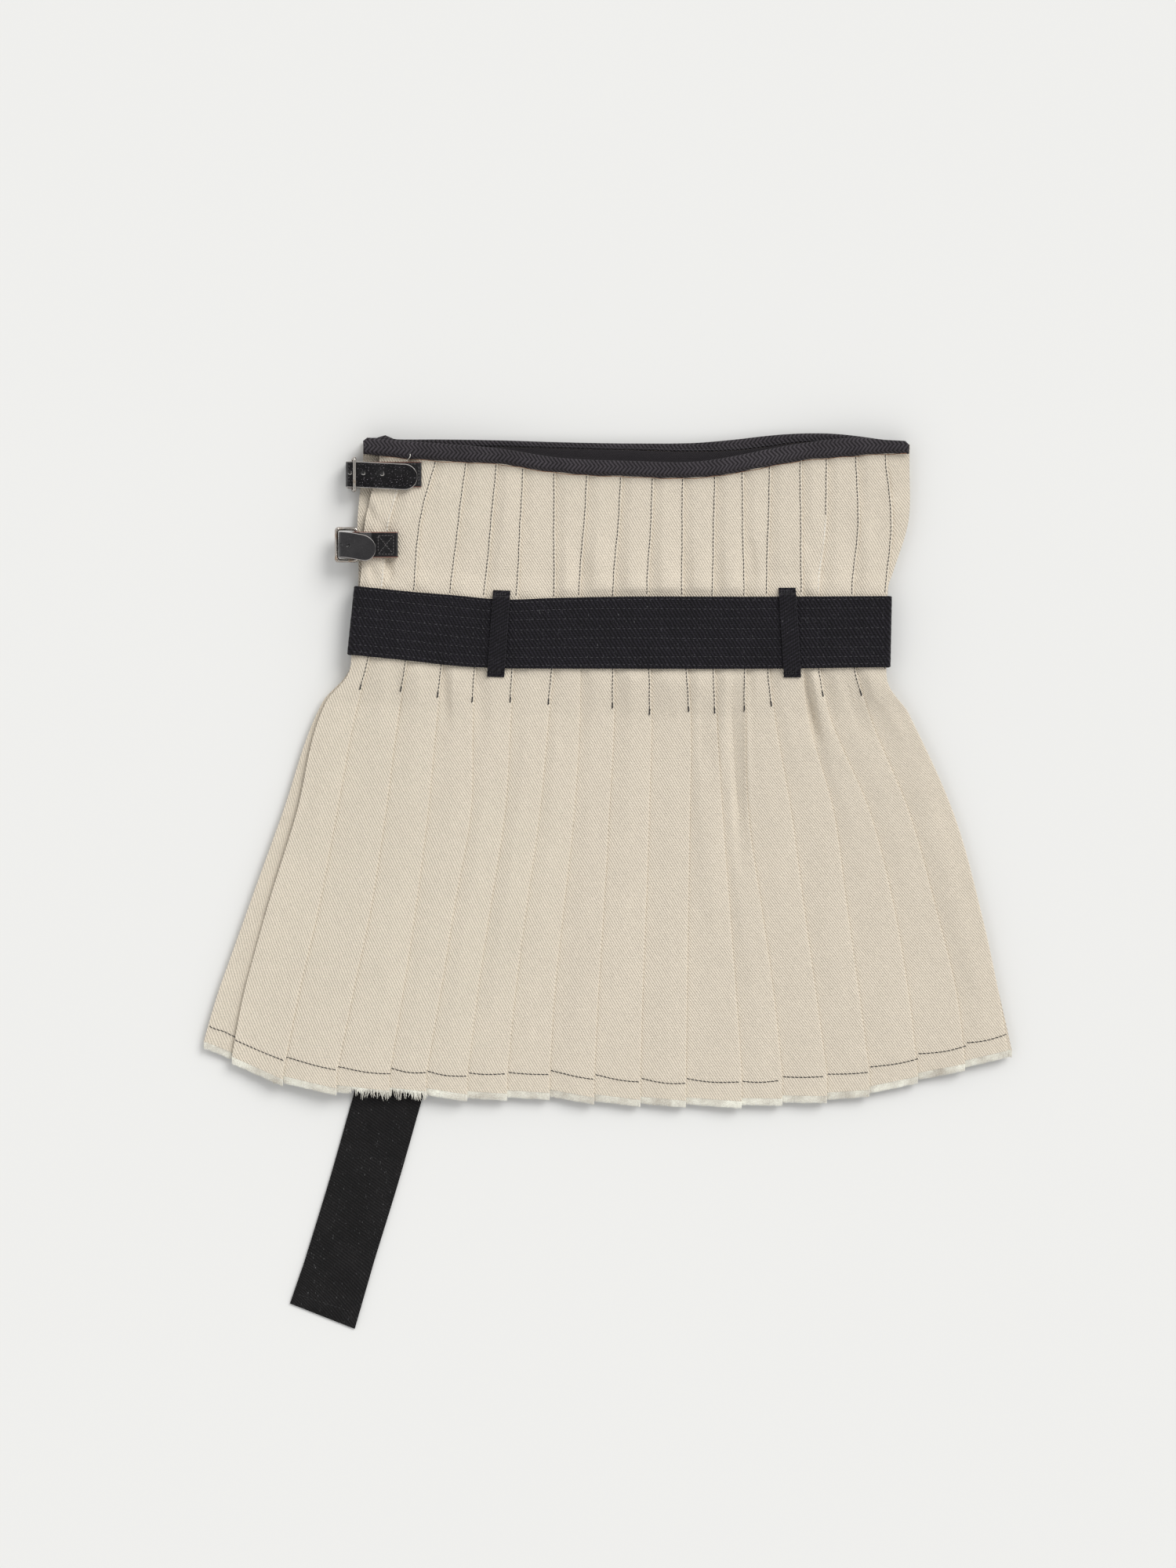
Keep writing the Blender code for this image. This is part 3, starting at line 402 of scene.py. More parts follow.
class KiltSizes(bpy.types.PropertyGroup):
    cloth: length("Cloth", "Thickness of the wool twill", 0.52, 0.3, 1.0)
    twill: length("Twill spacing", "Distance between two diagonal lines of the weave", 1.38, 0.4, 3.0)
    softness: FloatProperty(
        name="Softness",
        description="How far the cloth's soft ridges and troughs rise, 1 as laid",
        default=2.0,
        min=0.0,
        max=3.0,
        subtype="FACTOR",
    )
    fringe: length("Fringe", "Length of the frayed yarns at the hem", 5.2, 1.0, 9.0)
    strands: IntProperty(
        name="Strands",
        description="Frayed yarns in each centimetre of the front hem",
        default=50,
        min=4,
        max=60,
    )


class KiltColours(bpy.types.PropertyGroup):
    wool: colour_of("Wool", "Colour of the twill", (0.755, 0.674, 0.552))
    tape: colour_of("Binding", "Colour of the waist's binding", (0.034, 0.030, 0.034))
    belting: colour_of("Belting", "Colour of the belt and its loops", (0.0135, 0.0115, 0.0165))
    leather: colour_of("Leather", "Colour of the straps and tabs", (0.007, 0.0065, 0.007))
    raw_edge: colour_of("Raw edge", "Colour of the leather's cut edge", (0.16, 0.055, 0.035))
    nickel: colour_of("Nickel", "Colour of the buckle frames", (0.46, 0.43, 0.395))
    thread: colour_of("Thread", "Colour of the black sewing thread", (0.020, 0.017, 0.015))


class KiltStage(bpy.types.PropertyGroup):
    floor: colour_of("Floor", "Colour of the floor", (0.80, 0.80, 0.785))
    key: FloatProperty(
        name="Key light",
        description="Strength of the broad soft light from the upper right",
        default=1.75,
        min=0.0,
    )
    sky: FloatProperty(
        name="Surround", description="Brightness of the white surround", default=0.86, min=0.0
    )
    camera_height: length("Camera height", "Height of the camera over the floor", 3200.0, 1000.0, 9000.0)


# Shapes


def rising(stops, values):
    """Both as arrays, turned round if the stops fall."""
    way = -1 if stops[0] > stops[-1] else 1
    return np.asarray(stops, float)[::way], np.asarray(values, float)[::way]


def straight(at, stops, values):
    """The value at a place on the broken line through stops and values, level past its ends."""
    return np.interp(at, *rising(stops, values))


def flowing(at, stops, values):
    """The value at a place on the smooth line through stops and values."""
    stops, values = rising(stops, values)
    slopes = np.gradient(values, stops)
    at = np.clip(at, stops[0], stops[-1])
    i = np.clip(np.searchsorted(stops, at, side="right") - 1, 0, len(stops) - 2)
    span = stops[i + 1] - stops[i]
    t = (at - stops[i]) / span
    start = (1 + 2 * t) * (1 - t) ** 2 * values[i] + t * (1 - t) ** 2 * span * slopes[i]
    return start + t * t * (3 - 2 * t) * values[i + 1] + t * t * (t - 1) * span * slopes[i + 1]


def ease(share):
    """0 to 1 with a level start and end."""
    share = np.clip(share, 0.0, 1.0)
    return share * share * (3 - 2 * share)


def hem_height(x):
    places = [HEM_LEFT_END] + [(fold.hem, fold.hem_height) for fold in FOLDS]
    return straight(x, *zip(*places))


def edge_height(edge, x):
    """The height of one of the kilt's named edges at x."""
    if edge == "hem":
        return hem_height(x)
    if edge in ("belt_top", "belt_foot"):
        column = edge[len("belt_") :]
        return flowing(x, [e.x for e in BELT_EDGES], [getattr(e, column) for e in BELT_EDGES])
    return flowing(x, [w.x for w in WAIST], [getattr(w, edge) for w in WAIST])


def edge_at(edge, x):
    return float(edge_height(edge, x))


def row_height(place, x):
    """Height of a row at x. A place between two rows is a number between theirs."""
    index = min(int(place), HEM_ROW - 1)
    upper, lower = ROWS[index], ROWS[index + 1]
    share = place - index
    high = edge_height(upper.edge, x) + upper.offset
    return high + (edge_height(lower.edge, x) + lower.offset - high) * share


def row_value(place, column):
    return float(np.interp(place, range(len(ROWS)), [getattr(row, column) for row in ROWS]))


def finer_rows(first, last):
    """Places of the fine rows from one row to another."""
    places = []
    for index in range(first, last):
        places += [index + k / ROWS[index].finer for k in range(ROWS[index].finer)]
    return places + [last]


def place_at(x, y):
    """The place, among the rows, of a point on a panel."""
    heights = [float(row_height(index, x)) for index in range(len(ROWS))]
    return float(np.interp(-y, [-h for h in heights], range(len(ROWS))))


def over_tail(x, y):
    """1 where the back lies on the belt's tail, easing to 0 beside it."""
    middle = straight(y, [m.y for m in TAIL], [m.x for m in TAIL])
    return 1 - ease((np.abs(x - middle) - TAIL_WIDTH_ALONG_X / 2 - TAIL_MARGIN) / TAIL_SLOPE)


def apron_edge(y):
    """Where the under layer's hidden edge is."""
    down = (HEIGHTS[0] - y) / (HEIGHTS[0] - HEIGHTS[-1])
    width = APRON_WIDTH_WAIST + (APRON_WIDTH_HEM - APRON_WIDTH_WAIST) * down
    return straight(y, HEIGHTS, LEFT_SIDE) + width


def back_base(x, y, place):
    """Height of the back panel's underside."""
    return row_value(place, "lift") + TAIL_LIFT * row_value(place, "tail") * over_tail(x, y)


def front_base(x, y, place):
    """Height of the front panel's underside."""
    over_apron = 1 - ease((x - apron_edge(y)) / APRON_SLOPE)
    waist = WAIST_GAP * row_value(place, "waist")
    return back_base(x, y, place) + PANEL + PANEL_GAP + APRON_LIFT * over_apron + waist


def front_top_at(x, y):
    return float(front_base(x, y, place_at(x, y))) + PANEL


def cinched(x, place):
    """A place across the kilt, drawn in where the belt passes round the sides."""
    low = np.interp(place, (5, 6), (BELT_LEFT_TOP, BELT_LEFT_FOOT)) + WALL_AT_SIDE
    high = np.interp(place, (5, 6), (BELT_RIGHT_TOP, BELT_RIGHT_FOOT)) - WALL_AT_SIDE
    return x + (np.clip(x, low, high) - x) * ease(np.interp(place, (4, 5, 6, 7), (0, 1, 1, 0)))


def fold_at(fold, y):
    return float(flowing(y, HEIGHTS, fold[: len(HEIGHTS)]))


def fold_places(place):
    """Where the front's folds cross a row."""
    x = np.array([fold.belt_top for fold in FOLDS])
    for _ in range(3):
        heights = row_height(place, x)
        x = np.array([fold_at(fold, y) for fold, y in zip(FOLDS, heights)])
    return cinched(x, place)


def side_place(values, height_at, place):
    """Where one side of the kilt crosses a row."""
    x = values[2]
    for _ in range(3):
        x = float(flowing(height_at(place, x), HEIGHTS, values))
    return float(cinched(x, place))


def beside_belt(x, y):
    """Distance above the belt's upper edge, and below its lower one."""
    return y - edge_height("belt_top", x), edge_height("belt_foot", x) - y


def relief(x, y, softness):
    """How far the front's cloth rises from where a flat panel would lie."""
    rise = BROAD_SWELL * np.sin(x / 17.0 + y / 41.0) * np.sin(y / 29.0 - x / 63.0)
    rise = rise + FINE_SWELL * np.sin(x / 7.3 - y / 57.0 + 1.3)
    for crease in CREASES:
        down = (crease.y_top - y) / (crease.y_top - crease.y_foot)
        middle = crease.x_top + (crease.x_foot - crease.x_top) * down
        window = np.sin(np.pi * np.clip(0.12 + 0.88 * down, 0, 1)) ** 0.7 * (down > -0.13) * (down < 1)
        rise = rise + crease.rise * window * np.exp(-(((x - middle) / crease.half_width) ** 2))
    above, below = beside_belt(x, y)
    for distance, column in ((above, "above"), (below, "below")):
        out = np.clip(distance, 0, None) / PUFF_PEAK
        swell = out * np.exp(1 - out)
        for puff in PUFFS:
            across = np.exp(-(((x - puff.x) / puff.half_width) ** 2))
            rise = rise + getattr(puff, column) * across * swell
    outside = np.maximum(above, below)
    waist = edge_height("front_low", x) - y
    return softness * rise * ease(outside / HELD_BY_BELT) * ease(waist / HELD_BY_WAIST)


# Meshes


def shaded(mesh, angle=50.0):
    mesh.polygons.foreach_set("use_smooth", [True] * len(mesh.polygons))
    mesh.set_sharp_from_angle(angle=math.radians(angle))
    return mesh


def wall_mesh(name, lower, upper, u, v, rim=None):
    """A closed wall between two grids of points, with its cloth's own places as a UV map.

    The grids are arrays of rows, columns and (x, y, z) in millimetres. u and v are millimetres
    along the cloth for each point, and rim is 1 at a cut edge and at a painted glint round a hole, and 0
    away from them.
    """
    rows, columns = lower.shape[:2]
    bm = bmesh.new()
    bmesh.ops.create_grid(bm, x_segments=columns - 1, y_segments=rows - 1, size=0.5)
    bmesh.ops.extrude_face_region(bm, geom=bm.faces[:], use_keep_orig=True)
    mesh = bpy.data.meshes.new(name)
    bm.to_mesh(mesh)
    flat = np.empty(len(mesh.vertices) * 3)
    mesh.vertices.foreach_get("co", flat)
    flat = flat.reshape(-1, 3)
    column = np.rint((flat[:, 0] + 0.5) * (columns - 1)).astype(int)
    row = np.rint((flat[:, 1] + 0.5) * (rows - 1)).astype(int)
    is_lower = np.arange(len(flat)) < rows * columns
    placed = np.where(is_lower[:, None], lower[row, column], upper[row, column]) * MM
    mesh.vertices.foreach_set("co", placed.ravel())
    loop_vertex = np.empty(len(mesh.loops), int)
    mesh.loops.foreach_get("vertex_index", loop_vertex)
    places = np.stack([u[row, column], v[row, column]], axis=1)[loop_vertex] * MM
    layer = mesh.uv_layers.new(name="Cloth")
    layer.data.foreach_set("uv", places.ravel())
    if rim is not None:
        rims = mesh.attributes.new("rim", "FLOAT", "POINT").data
        rims.foreach_set("value", rim[row, column].astype(np.float32))
    bm.free()
    bm = bmesh.new()
    bm.from_mesh(mesh)
    bmesh.ops.recalc_face_normals(bm, faces=bm.faces[:])
    if bm.calc_volume(signed=True) < 0:
        bmesh.ops.reverse_faces(bm, faces=bm.faces[:])
    bm.to_mesh(mesh)
    bm.free()
    return shaded(mesh)


def show(name, mesh, material, nodes=()):
    """Puts a finished mesh in the scene as a piece of the kilt."""
    mesh.materials.append(material)
    piece = bpy.data.objects.new(name, mesh)
    bpy.context.scene.collection.objects.link(piece)
    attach(piece, BODY)
    if nodes:
        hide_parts(*nodes)
    return piece


def thread_mesh(name, paths, radius, sides=1, closed=False):
    """Round thread, yarn or wire along paths of (x, y, z, thickness) in millimetres."""
    curve = bpy.data.curves.new(name, "CURVE")
    curve.dimensions = "3D"
    curve.bevel_depth = radius * MM
    curve.bevel_resolution = sides
    curve.use_fill_caps = not closed
    for path in paths:
        spline = curve.splines.new("POLY")
        spline.points.add(len(path) - 1)
        flat = []
        for x, y, z, _ in path:
            flat += [x * MM, y * MM, z * MM, 1.0]
        spline.points.foreach_set("co", flat)
        spline.points.foreach_set("radius", [p[3] for p in path])
        spline.use_cyclic_u = closed
    holder = bpy.data.objects.new(name, curve)
    bpy.context.scene.collection.objects.link(holder)
    bpy.context.view_layer.update()
    evaluated = holder.evaluated_get(bpy.context.evaluated_depsgraph_get())
    mesh = bpy.data.meshes.new_from_object(evaluated)
    bpy.data.objects.remove(holder)
    bpy.data.curves.remove(curve)
    mesh.name = name
    bm = bmesh.new()
    bm.from_mesh(mesh)
    bmesh.ops.recalc_face_normals(bm, faces=bm.faces[:])
    bm.to_mesh(mesh)
    bm.free()
    return shaded(mesh, 70.0)


def surface_of(*names):
    """What thread can be laid on: the pieces' shapes, to be met from above or below."""
    bm = bmesh.new()
    for name in names:
        bm.from_mesh(bpy.data.objects[name].data)
    tree = BVHTree.FromBMesh(bm)
    bm.free()
    return tree


def laid(tree, x, y, from_above=True):
    """The height of a surface at a point in plan, or None past its edge."""
    start, way = (1.0, -1.0) if from_above else (-1.0, 1.0)
    found = tree.ray_cast(Vector((x * MM, y * MM, start)), Vector((0, 0, way)))[0]
    return None if found is None else found.z / MM


def travelled(points):
    """How far along a line each of its points is."""
    steps = np.linalg.norm(np.diff(points, axis=0), axis=1)
    return np.concatenate([[0], np.cumsum(steps)])


STITCH_ARCH = 0.10
STITCH_RISE = 0.75  # of its radius, that its middle is over the cloth
STITCH_DIP = 0.5
STITCH_END = 0.5  # of its thickness


def stitches(tree, line, pitch, length, sink=0.05, tilt=0.0, from_above=True, thickness=1.0):
    """Stitches along a line of (x, y) points, each bedded in the surface at both its ends.

    sink is how deep a stitch pulls in, and tilt how far its ends are off the line.
    """
    line = np.array(line, float)
    travel = travelled(line)
    paths = []
    out = 1 if from_above else -1
    for k in range(int(travel[-1] / pitch)):
        start = (k + 0.5) * pitch - length / 2
        at = np.array([start, start + length / 2, start + length])
        xs, ys = np.interp(at, travel, line[:, 0]), np.interp(at, travel, line[:, 1])
        way = np.array([xs[2] - xs[0], ys[2] - ys[0]]) / max(length, 1e-6)
        xs = xs + np.array([-1, 0, 1]) * way[1] * tilt
        ys = ys - np.array([-1, 0, 1]) * way[0] * tilt
        heights = [laid(tree, x, y, from_above) for x, y in zip(xs, ys)]
        if None in heights:
            continue
        middle = heights[1] + out * (THREAD_RADIUS * STITCH_RISE - sink)
        first, last = (heights[i] - out * (THREAD_RADIUS * STITCH_DIP + sink) for i in (0, 2))
        zs = [first, (first + middle) / 2 + out * STITCH_ARCH, middle]
        zs += [(middle + last) / 2 + out * STITCH_ARCH, last]
        shares = np.linspace(0, 2, 5)
        xs, ys = np.interp(shares, range(3), xs), np.interp(shares, range(3), ys)
        widths = [STITCH_END * thickness, *[thickness] * 3, STITCH_END * thickness]
        paths.append(list(zip(xs, ys, zs, widths)))
    return paths


MOST_CUT = 0.48  # of a stretch, for the round of a corner
LEAST_TURN = 0.02


def softened(knots, radius, spacing, corner_steps=5):
    """A line of knots with its corners rounded and its long stretches divided.

    Each knot is an array of one or more points that travel together, and lengths are measured
    along their middle.
    """
    knots = np.array(knots, float)
    middle = knots.mean(axis=1)
    made = [knots[0]]
    for i in range(1, len(knots) - 1):
        before, after = middle[i - 1] - middle[i], middle[i + 1] - middle[i]
        back, on = np.linalg.norm(before), np.linalg.norm(after)
        turn = math.pi - math.acos(np.clip(np.dot(before, after) / (back * on), -1, 1))
        cut = min(radius * math.tan(turn / 2), MOST_CUT * back, MOST_CUT * on)
        if turn < LEAST_TURN:
            made.append(knots[i])
            continue
        a = knots[i] + (knots[i - 1] - knots[i]) * cut / back
        b = knots[i] + (knots[i + 1] - knots[i]) * cut / on
        for t in np.linspace(0, 1, corner_steps):
            made.append(a * (1 - t) ** 2 + 2 * knots[i] * t * (1 - t) + b * t * t)
    made.append(knots[-1])
    line = [made[0]]
    for a, b in zip(made, made[1:]):
        steps = max(1, math.ceil(np.linalg.norm((b - a).mean(axis=0)) / spacing))
        line += [a + (b - a) * (k + 1) / steps for k in range(steps)]
    return np.array(line)


def across_shares(width, radius, count):
    """Places across a strip, closer together at its rounded edges."""
    near = radius / width * np.array([0, 0.06, 0.24, 0.55])
    middle = np.linspace(radius / width, 1 - radius / width, count)
    return np.concatenate([near, middle, 1 - near[::-1]])


THIN_EDGE = 0.08  # of a strip's thickness, at its very edge
# Width of the band at a strip's edge that takes the leather's edge colour; on the straps that lighter
# colour is partly painted highlight
RAW_EDGE = 0.8


def strip_mesh(name, pairs, thickness, count, radius, rise=None, end_radius=0.0, cut=None):
    """A strip between two edges, an array of stations with (edge, edge) points.

    Its long edges are rounded by a radius, and so are its ends if asked. rise gives how much
    further out the upper side lies at each (along, across, point), and cut where it takes its edge
    colour besides its edges, such as the painted glints round holes.
    """
    width = float(np.linalg.norm(pairs[:, 1] - pairs[:, 0], axis=1).max())
    shares = across_shares(width, radius, count)[:, None, None]
    centre = pairs[None, :, 0] * (1 - shares) + pairs[None, :, 1] * shares
    along = np.gradient(centre, axis=1)
    over = np.broadcast_to((pairs[:, 1] - pairs[:, 0])[None], centre.shape)
    normal = np.cross(along, over)
    normal /= np.linalg.norm(normal, axis=2, keepdims=True)
    travel = travelled(pairs.mean(axis=1))
    local = np.linalg.norm(pairs[:, 1] - pairs[:, 0], axis=1)[None, :]
    distance = np.minimum(shares[..., 0], 1 - shares[..., 0]) * local
    half = np.sqrt(1 - (1 - np.clip(distance / radius, 0, 1)) ** 2)
    if end_radius:
        from_end = np.minimum(travel, travel[-1] - travel)[None, :]
        half = half * np.sqrt(1 - (1 - np.clip(from_end / end_radius, 0, 1)) ** 2)
    half = (THIN_EDGE + (1 - THIN_EDGE) * half) * thickness / 2
    u = np.broadcast_to(travel[None, :], distance.shape)
    v = shares[..., 0] * local
    extra = 0 if rise is None else rise(u, v, centre)
    upper = centre + normal * (half + extra)[..., None]
    lower = centre - normal * half[..., None]
    rim = np.clip(1 - distance / RAW_EDGE, 0, 1)
    if cut is not None:
        rim = np.maximum(rim, cut(centre))
    return wall_mesh(name, lower, upper, u, v, rim)


# Pleated panels

RAMP = (0.0, 0.1, 0.26, 0.5, 0.74, 0.9, 1.0)
QUARTERS = np.radians((0, 45, 90, 135, 180))
THIRDS = np.radians((0, 60, 120, 180))
COLUMNS_PER_PLEAT = len(RAMP) + 2 + len(QUARTERS) + 1 + len(THIRDS) + 1


def pleat_row(folds, end, thick):
    """One row of a pleated panel, folded in full.

    Returns along, height, cloth and face for each column: the place on the row, the height of the
    cloth's middle, the place on the cloth, and the share of the face from its left to its right
    fold, or 2 where the cloth is behind a fold.
    """
    level = thick * LAYER_STEP
    along, height, cloth, face = [], [], [], []
    for pleat, (previous, fold) in enumerate(zip(folds, folds[1:])):
        width = fold - previous
        underlay = min((PLEAT_CUT - width) / 2, max(width - LEAST_FACE, LEAST_UNDERLAY))
        turn = fold - level / 2 - thick / 2
        start = previous + (PAST_FOLD if pleat else 0)
        crest = turn - underlay - CREST
        xs = [start + (crest - start) * t for t in RAMP]
        hs = [2 * level * float(ease(t)) for t in RAMP]
        xs += [crest + (turn - crest) * t for t in (0.4, 0.8)]
        hs += [2 * level] * 2
        shown = len(xs) + 3
        xs += list(turn + level / 2 * np.sin(QUARTERS))
        hs += list(1.5 * level + level / 2 * np.cos(QUARTERS))
        xs.append(turn - underlay / 2)
        hs.append(level)
        xs += list(turn - underlay - level / 2 * np.sin(THIRDS))
        hs += list(0.5 * level + level / 2 * np.cos(THIRDS))
        count = len(xs)
        base = pleat * PLEAT_CUT
        cloth += [base + x - fold for x in xs[:shown]]
        cloth += [base + fold - x for x in xs[shown:]]
        face += [(x - previous) / width for x in xs[:shown]] + [2.0] * (count - shown)
        last = pleat == len(folds) - 2
        xs.append(end if last else fold - 0.2)
        hs.append(0.0)
        cloth.append(base + PLEAT_CUT + xs[-1] - (fold + PLEAT_CUT / 2 if last else folds[pleat + 2]))
        face.append(1.0 if last else 2.0)
        along += xs
        height += hs
    return np.array(along), np.array(height), np.array(cloth), np.array(face)


def pleated_grid(rows, thick, turned):
    """A pleated panel's two faces, half its thickness each side of the cloth's middle.

    Each row has, for each column, along, height, y, base and cloth. turned is 1 for a panel that
    lies face up, and -1 for one that lies face down.
    """
    along, height, y, base, cloth = (np.array(part) for part in zip(*rows))
    way = np.stack([np.gradient(along, axis=1), np.gradient(height, axis=1)], axis=-1)
    way /= np.linalg.norm(way, axis=-1, keepdims=True)
    normal = np.stack([-way[..., 1], way[..., 0]], axis=-1) * thick / 2
    faces = []
    for side in (-1, 1):
        x, h = along + side * normal[..., 0], height + side * normal[..., 1]
        faces.append(np.stack([turned * x, y, base + turned * h], axis=-1))
    return *faces, cloth, y


def front_hem(face):
    """The height of the front's hem at each column, dropping to each face's right corner."""
    pleat = np.minimum(np.arange(len(face)) // COLUMNS_PER_PLEAT, len(FOLDS) - 2)
    heights = np.array([fold.hem_height for fold in FOLDS])
    left, corner = heights[pleat] + HEM_STEP, heights[pleat + 1]
    shown = left + (corner - left) * np.clip(face, 0, 1)
    return np.where(face > 1.5, corner + HEM_STEP, shown)


def front_grid(sizes):
    """The front's lower and upper faces, with the place of each point on the cloth."""
    thick = sizes.cloth / MM
    places = finer_rows(0, HEM_ROW)
    rows = []
    for place in places:
        folds = fold_places(place)
        outer = side_place(RIGHT_SIDE, row_height, place)
        along, height, cloth, face = pleat_row(folds, max(outer, folds[-1]), thick)
        y = row_height(place, along)
        past = place - (HEM_ROW - 1)
        if past > 0:
            flat = row_height(HEM_ROW - 1, along)
            y = flat + (front_hem(face) - flat) * past
        lift = PANEL - thick * PILE
        settle = 0.55 + 0.45 * float(ease((9 - place) / 3))
        base = front_base(along, y, place) + lift * settle + relief(along, y, sizes.softness)
        rows.append((along, height, y, base, cloth))
    return pleated_grid(rows, thick, 1)


def back_height(place, x):
    """Height of the back's rows, of which the first is its waist and the next the fourth."""
    if place < 4:
        top = edge_height("back_top", x) - 2.0
        return top + (row_height(4, x) - top) * place / 4
    if place > HEM_ROW - 1:
        flat = row_height(HEM_ROW - 1, x)
        return flat + (hem_height(x) + BACK_HEM_UP - flat) * (place - HEM_ROW + 1)
    return row_height(place, x)


def back_grid(sizes):
    """The back lies face down, so its pleats run the other way and its faces are underneath."""
    thick = sizes.cloth / MM
    places = [*np.linspace(0, 4, 20)[:-1], *finer_rows(4, HEM_ROW)[::2]]
    rows = []
    for place in places:
        left, right = (side_place(values, back_height, place) for values in (LEFT_SIDE, RIGHT_SIDE))
        folds = np.linspace(-right, -left, len(FOLDS))
        along, height, cloth, _ = pleat_row(folds, -left, thick)
        y = back_height(place, -along)
        lift = REST_LIFT if place < 4 else row_value(place, "lift")
        base = lift + TAIL_LIFT * row_value(place, "tail") * over_tail(-along, y)
        swell = 0.35 * np.sin(along / 23.0) * np.sin(y / 37.0) * ease((place - 6.5) / 2)
        rows.append((along, height, y, base + thick * PILE + np.abs(swell), cloth))
    return pleated_grid(rows, thick, -1)


def apron_grid(sizes):
    """The strip of the wrapped under layer, one layer of cloth that lies on the back."""
    thick = sizes.cloth / MM
    lower, upper, u, v = [], [], [], []
    for place in finer_rows(2, HEM_ROW)[::2] + [HEM_ROW]:
        left = side_place(LEFT_SIDE, row_height, place)
        width = float(apron_edge(row_height(place, left))) - left
        x = left + width * np.linspace(0, 1, 40)
        y = row_height(place, x)
        if place == 2:
            y = edge_height("front_low", x) - SEAM
        if place > HEM_ROW - 1:
            y = y + APRON_HEM_UP * (place - HEM_ROW + 1)
        z = back_base(x, y, place) + PANEL + APRON_GAP
        z = z + 0.25 * (1 + np.sin(x / 9.0 + y / 70.0)) * float(ease((place - 6.5) / 2))
        lower.append(np.stack([x, y, z], axis=-1))
        upper.append(np.stack([x, y, z + thick], axis=-1))
        u.append(x - left)
        v.append(y)
    return np.array(lower), np.array(upper), np.array(u), np.array(v)


# Strips


def every(left, right, step):
    return np.linspace(left, right, max(2, math.ceil((right - left) / step) + 1))


def binding_mesh(name, left, right, section_at):
    """A tape folded over an edge; section_at(x) gives its (y, z) middle line at x."""
    lower, upper, u, v = [], [], [], []
    for x in every(left, right, 2.5):
        knots = np.array([[(x, y, z)] for y, z in section_at(x)])
        line = softened(knots, 0.75, 1.3)[:, 0]
        lower.append(line)
    count = min(len(line) for line in lower)
    rows = []
    for line in lower:
        travel = travelled(line)
        at = np.linspace(0, travel[-1], count)
        rows.append(np.stack([np.interp(at, travel, line[:, k]) for k in range(3)], axis=-1))
        v.append(at)
        u.append(np.full(count, line[0, 0]))
    centre = np.array(rows)
    way = np.gradient(centre, axis=1)
    run = np.gradient(centre, axis=0)
    normal = np.cross(run, way)
    normal /= np.linalg.norm(normal, axis=2, keepdims=True)
    at = np.array(v)
    edge = np.minimum(at, at[:, -1:] - at)
    half = (0.25 + 0.75 * np.sqrt(1 - (1 - np.clip(edge / 0.6, 0, 1)) ** 2)) * BINDING * 0.42
    uneven = 0.08 * np.sin(np.array(u) / 5.3) * np.sin(at / 2.1)
    upper = centre + normal * half[..., None]
    lower = centre - normal * (half + uneven)[..., None]
    return wall_mesh(name, lower, upper, np.array(u), at)


def rounded_corner(x, left, right, radius):
    """How far an edge drops to round off its two ends."""
    inside = min(x - left, right - x) / radius
    return radius * (1 - math.sqrt(1 - (1 - min(max(inside, 0.0), 1.0)) ** 2)) * 0.8


def front_binding_section(x):
    top, low = edge_at("front_top", x), edge_at("front_low", x)
    top -= rounded_corner(x, *FRONT_BINDING_ENDS, BINDING_CORNER)
    wobble = 0.22 * math.sin(x / 6.1) + 0.15 * math.sin(x / 2.7)
    shown = SEAM + BINDING / 2
    closed = top - BINDING / 2
    under = low + 4.0
    level = front_top_at(x, under)
    return [
        (low + wobble, front_top_at(x, low) - 0.1),
        (low + 2.2, level + shown - 0.15),
        (closed, level + shown - 0.1),
        (closed, level - PANEL - shown),
        (under + SEAM, level - PANEL - shown),
    ]


def back_binding_section(x):
    top, seam = edge_at("back_top", x), edge_at("back_seam", x)
    top += 2.2 * math.exp(-(((x + 137.0) / 3.4) ** 2))  # a fold stands up near the left end
    top -= rounded_corner(x, *BACK_BINDING_ENDS, BINDING_CORNER)
    shown = SEAM + BINDING / 2
    closed = top - BINDING / 2
    return [
        (seam, REST_LIFT + PANEL + shown - 0.2),
        (closed, REST_LIFT + PANEL + shown),
        (closed, REST_LIFT - shown),
        (top - 9.0, REST_LIFT - shown),
    ]


def belt_pairs(level_at, turned_to):
    """The belt's middle surface along one stretch, with both ends turned to the other stretch."""
    half = BELT / 2

    def pair(x_top, x_foot, z):
        top, foot = edge_height("belt_top", x_top), edge_height("belt_foot", x_foot)
        return [(x_top, float(top) - 0.1, z), (x_foot, float(foot) + 0.1, z)]

    left = (BELT_LEFT_TOP + half, BELT_LEFT_FOOT + half)
    right = (BELT_RIGHT_TOP - half, BELT_RIGHT_FOOT - half)
    knots = [pair(*left, turned_to), pair(*left, level_at(left[0]))]
    for x in every(left[0] + 9, right[0] - 9, 8.0):
        knots.append(pair(x, x, level_at(x)))
    knots += [pair(*right, level_at(right[0])), pair(*right, turned_to)]
    return softened(knots, 1.7, 1.6)


def belt_front_level(x):
    middle = float(edge_height("belt_top", x) + edge_height("belt_foot", x)) / 2
    return front_top_at(x, middle) + SEAM + BELT / 2


def belt_back_level(_):
    return BELT_LIFT - SEAM - BELT / 2


def quilted(u, v, _):
    """The belting swells a little between its rows of stitches."""
    nearest = np.min([np.abs(v - row) for row in BELT_ROWS_DOWN], axis=0)
    return QUILT_RISE * (1 - np.exp(-((nearest / QUILT_HOLLOW) ** 2))) - QUILT_RISE


def tail_hem(u, v, _):
    """The tail's end is turned over and sewn down, which leaves a groove across it."""
    from_end = u.max() - u
    groove = -0.8 * np.exp(-(((from_end - TAIL_HEM) / 0.9) ** 2))
    step = -0.25 * ease((from_end - TAIL_HEM + 1) / 1.6)
    return groove + step + 0.05 * np.sin(u / 9.0) * np.sin(v / 6.0)


